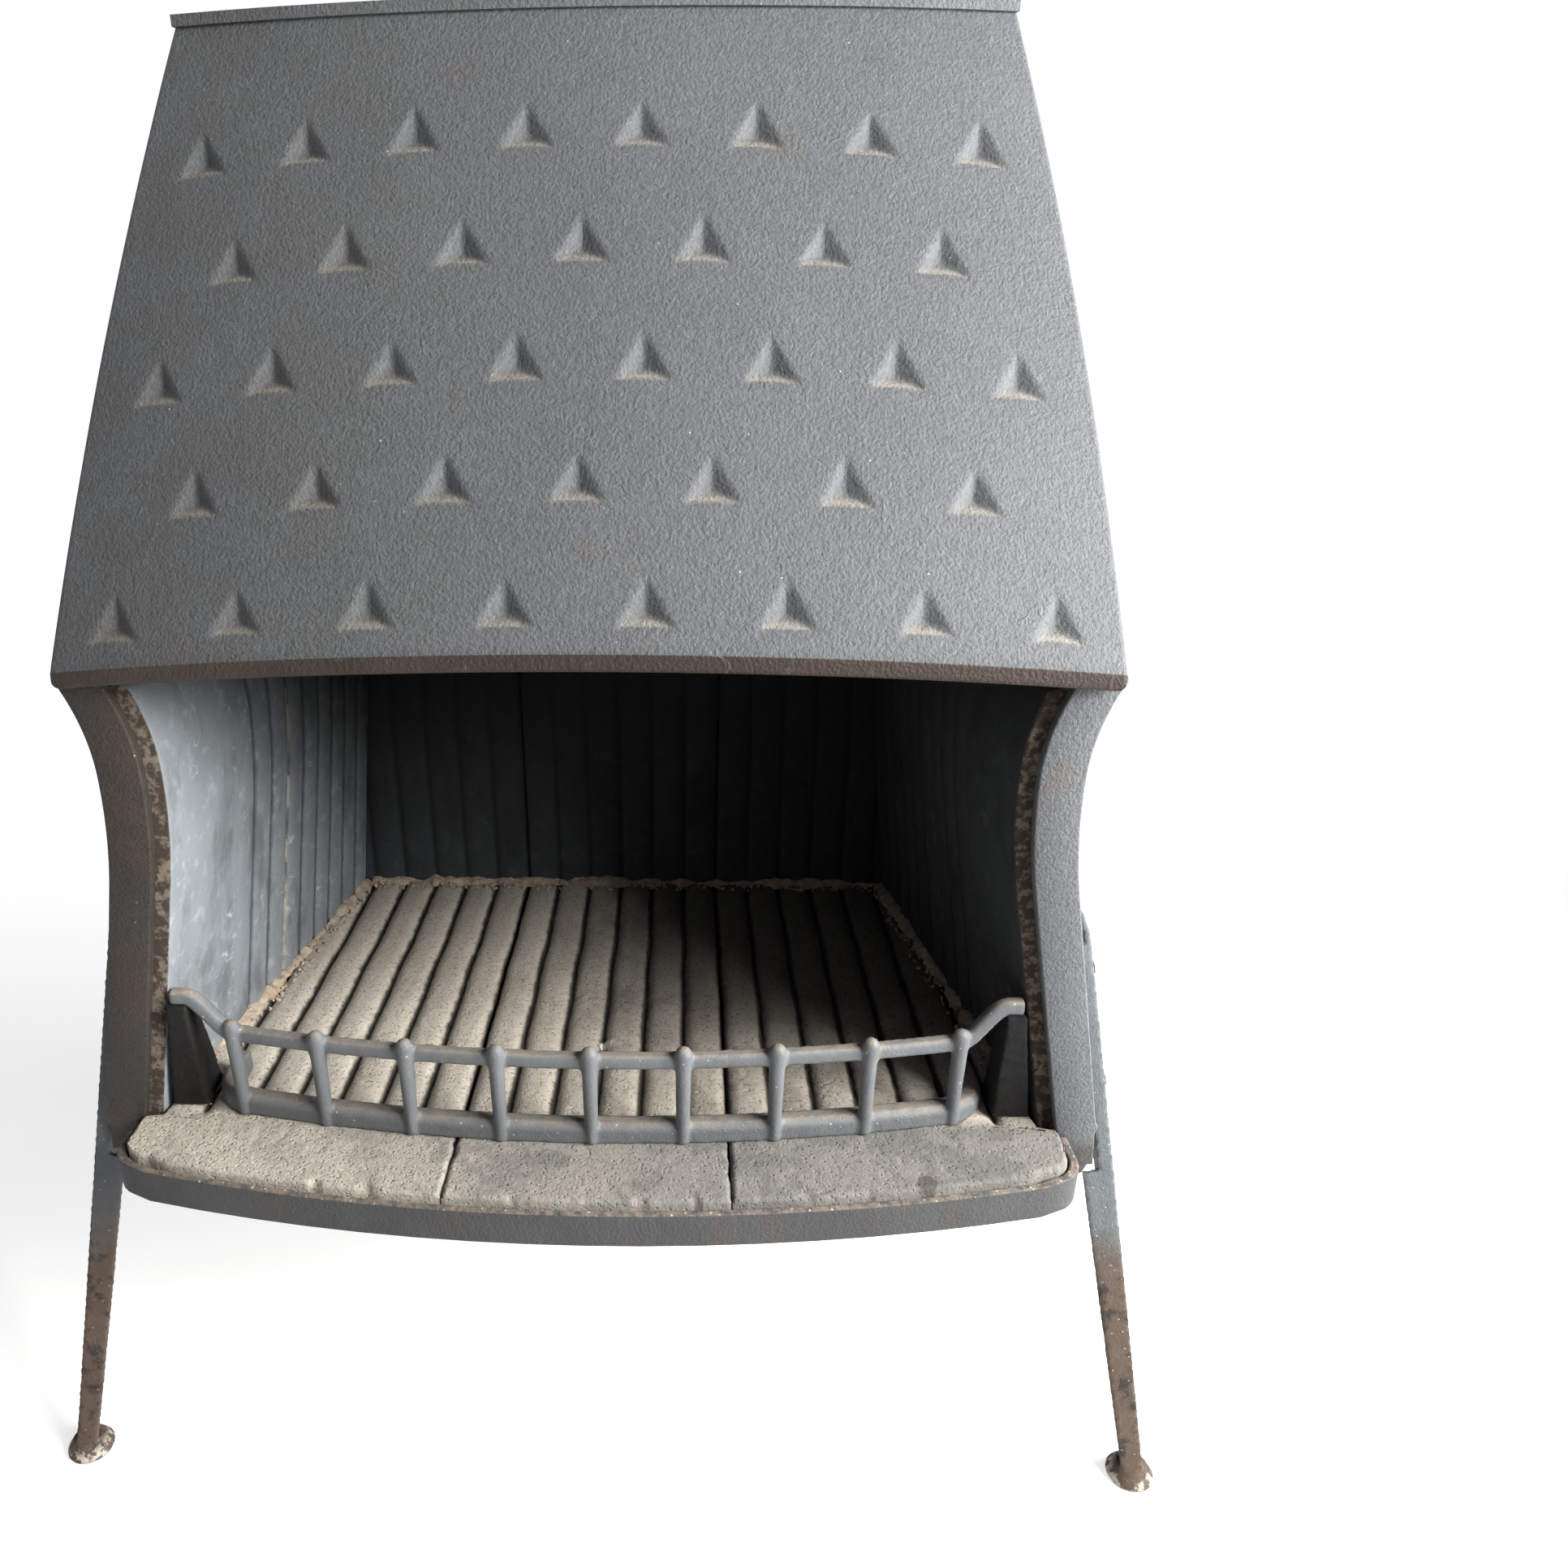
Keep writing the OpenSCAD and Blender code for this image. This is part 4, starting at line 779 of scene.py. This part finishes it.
def crumbs(name, strips, material, slot, count, size, seed):
    """Grit scattered over narrow strips, each a row of points with a width, by a tree with named inputs."""
    spots, faces = [], []
    for path, width in strips:
        for p, q in zip(path[:-1], path[1:]):
            p, q = np.array(p, float), np.array(q, float)
            side = np.cross(q - p, (0, 0, 1))
            side *= width / 2 / np.linalg.norm(side)
            faces.append([len(spots) + k for k in range(4)])
            spots += [p - side, q - side, q + side, p + side]
    carrier = new_object(name, mesh_of(spots, faces))
    tree = bpy.data.node_groups.new(name + "_scatter", "GeometryNodeTree")
    face = tree.interface
    face.new_socket("Geometry", in_out="INPUT", socket_type="NodeSocketGeometry")
    names = {"Count per square metre": count, "Grain size": size * 0.001, "Seed": seed}
    sockets = {}
    for label, value in names.items():
        made = face.new_socket(label, in_out="INPUT",
                               socket_type="NodeSocketInt" if label == "Seed" else "NodeSocketFloat")
        sockets[made.identifier] = value
    face.new_socket("Geometry", in_out="OUTPUT", socket_type="NodeSocketGeometry")
    add, link = tree.nodes.new, tree.links.new
    start, end = add("NodeGroupInput"), add("NodeGroupOutput")
    scatter = add("GeometryNodeDistributePointsOnFaces")
    stone = add("GeometryNodeMeshIcoSphere")
    place = add("GeometryNodeInstanceOnPoints")
    spin, stretch = add("FunctionNodeRandomValue"), add("FunctionNodeRandomValue")
    real, paint = add("GeometryNodeRealizeInstances"), add("GeometryNodeSetMaterial")
    spin.data_type = stretch.data_type = "FLOAT_VECTOR"
    spin.inputs[1].default_value = (6.28, 6.28, 6.28)
    stretch.inputs[0].default_value, stretch.inputs[1].default_value = (0.25, 0.25, 0.2), (1.3, 1.1, 0.8)
    stone.inputs["Subdivisions"].default_value = 1
    paint.inputs["Material"].default_value = material
    link(start.outputs["Geometry"], scatter.inputs["Mesh"])
    link(start.outputs["Count per square metre"], scatter.inputs["Density"])
    link(start.outputs["Grain size"], stone.inputs["Radius"])
    for taker in (scatter.inputs["Seed"], spin.inputs["Seed"]):
        link(start.outputs["Seed"], taker)
    link(scatter.outputs["Points"], place.inputs["Points"])
    link(stone.outputs[0], place.inputs["Instance"])
    link(spin.outputs[0], place.inputs["Rotation"])
    link(stretch.outputs[0], place.inputs["Scale"])
    link(place.outputs[0], real.inputs[0])
    link(real.outputs[0], paint.inputs[0])
    link(paint.outputs[0], end.inputs[0])
    modifier = carrier.modifiers.new("scatter", "NODES")
    modifier.node_group = tree
    for identifier, value in sockets.items():
        modifier[identifier] = value
    settle(carrier)
    finish_piece(carrier, material, slot, crease=25)


def lining():
    """The ribbed tiles of the side walls and of the back wall."""
    front, rear = (LINING_Y, TILE_JOINT_Y - SEAM / 2), (TILE_JOINT_Y + SEAM / 2, BACK_FACE_Y - 0.3)
    for side, word, brick in ((-1, "left", LIT_BRICK), (1, "right", SHADED_BRICK)):
        side_tile("side_tile_front_" + word, side, *front, brick, seed=20 + side)
        side_tile("side_tile_rear_" + word, side, *rear, brick, seed=30 + side)
    for side, word in ((0, "centre"), (-1, "left"), (1, "right")):
        back_tile("back_tile_" + word, side, seed=43 + 2 * side)


def floor_half(y):
    """Half of the open width between the side tiles, at the hearth."""
    return float(lining_x(y, 0.0))


def hearth():
    """The floor tiles, the cement round them, and the crumbs and fine grit that lie on them."""
    inner, outer = CENTRE_TILE_HALF - SEAM / 2, CENTRE_TILE_HALF + SEAM / 2
    hearth_tile("hearth_tile_left", -HEARTH_HALF_W, -outer, seed=11)
    hearth_tile("hearth_tile_centre", -inner, inner, seed=13)
    hearth_tile("hearth_tile_right", outer, HEARTH_HALF_W, seed=17)
    back_half = floor_half(BACK_FACE_Y) - 4
    for side, word in ((-1, "left"), (1, "right")):
        path = [(side * (floor_half(y) + 1), y, HEARTH_H - 2) for y in (-106.0, 0.0, 100.0, 241.0)]
        bead("cement_" + word, path, width=10.0, lean=-side, seed=50 + side)
    path = [(x, BACK_FACE_Y + 2, HEARTH_H - 3) for x in (-back_half, 0.0, back_half)]
    bead("cement_back", path, width=11.0, lean=1, seed=57)
    strips = [([(side * (floor_half(y) - 9), y, HEARTH_H + 0.5) for y in (-100.0, 60.0, 236.0)], 16)
              for side in (-1, 1)]
    strips.append(([(x, BACK_FACE_Y - 10, HEARTH_H + 0.5) for x in (-back_half, back_half)], 20))
    crumbs("cement_crumbs", strips, CREAM_CEMENT, "fire_cement", count=21000, size=2.6, seed=4)
    ledge = [([(x, float(ledge_front(x)) + 40, HEARTH_H + 0.2) for x in np.linspace(-315, 315, 24)], 70)]
    crumbs("hearth_grit", ledge, FLOOR_BRICK, "firebrick", count=2600, size=0.9, seed=8)


def ironwork():
    """The rest of the castings, and the fasteners."""
    finish_piece(softened("base_tray", width=1.8), CASTING, "bare_casting", "base_tray")
    fender = recast("fender", cell=1.5, passes=4, bumps=0.12, lump=9, seed=5, swell=0.55)
    finish_piece(fender, FENDER_IRON, "fender_iron", "fender", crease=60)
    for word in ("left", "right"):
        post = "fender_post_" + word
        cast = recast(post, cell=1.3, passes=3, bumps=0.2, lump=9, seed=6)
        # The fender posts are painted near-black: sooted, with painted shade.
        finish_piece(cast, SHADE_BLACK_IRON, "fender_iron", post)
        for end in ("front", "rear"):
            leg = f"leg_{end}_{word}"
            cast = recast(leg, cell=1.6, passes=3, bumps=0.22, lump=12, seed=7)
            finish_piece(cast, RUSTY_LEG, "rusty_leg", leg)
        side = "hood_side_" + word
        finish_piece(softened(side), HOOD_PAINT, "stove_paint", side)
    for node, paint, slot in (("hood_top", HOOD_PAINT, "stove_paint"),
                              ("flue_collar", HOOD_PAINT, "stove_paint"),
                              ("back_plate", CASTING, "bare_casting")):
        finish_piece(softened(node), paint, slot, node)
    for node in ("leg_bolts", "back_bolts", "hood_bolts", "hood_nuts", "top_bolts", "collar_bolts"):
        finish_piece(softened(node, width=0.6, segments=2), RUSTY_STEEL, "rusty_steel", node)


# ---- room ----
def background(tree, reached, plain):
    """Mixes white into what cameras, mirrors and glass see; the plain shader lights the object."""
    path, most = tree.nodes.new("ShaderNodeLightPath"), []
    for a, b in (("Is Camera Ray", "Is Glossy Ray"), (None, "Is Transmission Ray")):
        most.append(tree.nodes.new("ShaderNodeMath"))
        most[-1].operation = "MAXIMUM"
        tree.links.new(path.outputs[a] if a else most[0].outputs[0], most[-1].inputs[0])
        tree.links.new(path.outputs[b], most[-1].inputs[1])
    chosen = tree.nodes.new("ShaderNodeMixShader")
    tree.links.new(most[-1].outputs[0], chosen.inputs[0])
    tree.links.new(plain, chosen.inputs[1])
    tree.links.new(reached, chosen.inputs[2])
    return chosen.outputs[0]


def lamp(name, place, aim, wide, high, power, tint):
    """A rectangular lamp, its place and the point it is turned to in metres, its power in watts."""
    data = bpy.data.lights.new(name, "AREA")
    data.shape, data.size, data.size_y, data.energy, data.color = "RECTANGLE", wide, high, power, tint
    made = new_object(name, data)
    back = (np.array(place) - np.array(aim)) / np.linalg.norm(np.array(place) - np.array(aim))
    across = np.cross((0, 0, 1), back)
    across /= np.linalg.norm(across)
    turn = np.column_stack([across, np.cross(back, across), back, place])
    made.matrix_world = Matrix(turn.tolist() + [[0, 0, 0, 1]])


def room():
    scene = bpy.context.scene
    world = bpy.data.worlds.new("room")
    scene.world = world
    world.use_nodes = True
    tree = world.node_tree
    dim = tree.nodes["Background"]
    dim.inputs[0].default_value, dim.inputs[1].default_value = (0.93, 0.96, 1.0, 1), 0.05
    white = tree.nodes.new("ShaderNodeBackground")
    white.inputs[0].default_value, white.inputs[1].default_value = (1, 1, 1, 1), 1.0
    tree.links.new(background(tree, white.outputs[0], dim.outputs[0]), tree.nodes["World Output"].inputs[0])
    far = 9000
    corners = [(-far, -far, 0), (far, -far, 0), (far, far, 0), (-far, far, 0)]
    floor = new_object("floor", mesh_of(corners, [[0, 1, 2, 3]]))
    pale = bpy.data.materials.new("pale_floor")
    pale.use_nodes = True
    tree = pale.node_tree
    surface = tree.nodes["Principled BSDF"]
    surface.inputs["Base Color"].default_value = (0.8, 0.79, 0.78, 1)
    surface.inputs["Roughness"].default_value = 0.9
    glow = tree.nodes.new("ShaderNodeEmission")
    shade = tree.nodes.new("ShaderNodeAddShader")
    place, away, fade = (tree.nodes.new("ShaderNode" + kind)
                         for kind in ("TexCoord", "VectorMath", "MapRange"))
    away.operation = "LENGTH"
    tree.links.new(place.outputs["Object"], away.inputs[0])
    tree.links.new(away.outputs["Value"], fade.inputs["Value"])
    for key, value in (("From Min", 0.7), ("From Max", 2.4), ("To Min", 0.72), ("To Max", 1.0)):
        fade.inputs[key].default_value = value
    tree.links.new(fade.outputs[0], glow.inputs[1])
    tree.links.new(glow.outputs[0], shade.inputs[0])
    tree.links.new(surface.outputs[0], shade.inputs[1])
    tree.links.new(background(tree, shade.outputs[0], surface.outputs[0]),
                   tree.nodes["Material Output"].inputs[0])
    floor.data.materials.append(pale)
    daylight, sky_light = (1.0, 0.99, 0.97), (0.95, 0.97, 1.0)
    lamp("window", (1.5, -1.2, 1.55), (0, -1.2, 1.55), wide=1.2, high=1.0, power=102, tint=daylight)
    lamp("side_window", (1.6, -0.3, 1.05), (0, -0.3, 1.05), wide=0.8, high=1.2, power=65, tint=daylight)
    lamp("sky", (0.3, -2.6, 2.6), (0, 0, 0.5), wide=2.0, high=2.0, power=4, tint=sky_light)


def camera():
    data = bpy.data.cameras.new("camera")
    data.sensor_width, data.lens, data.shift_x, data.shift_y = 36.0, 26.542, 0.0916, 0.0450
    data.clip_start, data.clip_end = 0.02, 50
    made = new_object("camera", data)
    down, left, roll = 0.42325, 0.0393183, 0.0087403
    ahead = np.array([-math.sin(left) * math.cos(down), math.cos(left) * math.cos(down), -math.sin(down)])
    right = np.array([math.cos(left), math.sin(left), 0.0])
    below = np.cross(ahead, right)
    across = math.cos(roll) * right + math.sin(roll) * below
    under = -math.sin(roll) * right + math.cos(roll) * below
    place = (0.0662, -0.9127, 0.9046)
    turn = np.column_stack([across, -under, -ahead, place])
    made.matrix_world = Matrix(turn.tolist() + [[0, 0, 0, 1]])
    bpy.context.scene.camera = made


hood_front()
cheek(-1, LEFT_SHADED_PAINT)
cheek(1, RIGHT_LIT_PAINT)
lining()
hearth()
ironwork()
room()
camera()
scene = bpy.context.scene
scene.render.engine = "CYCLES"
scene.view_settings.view_transform = "Standard"
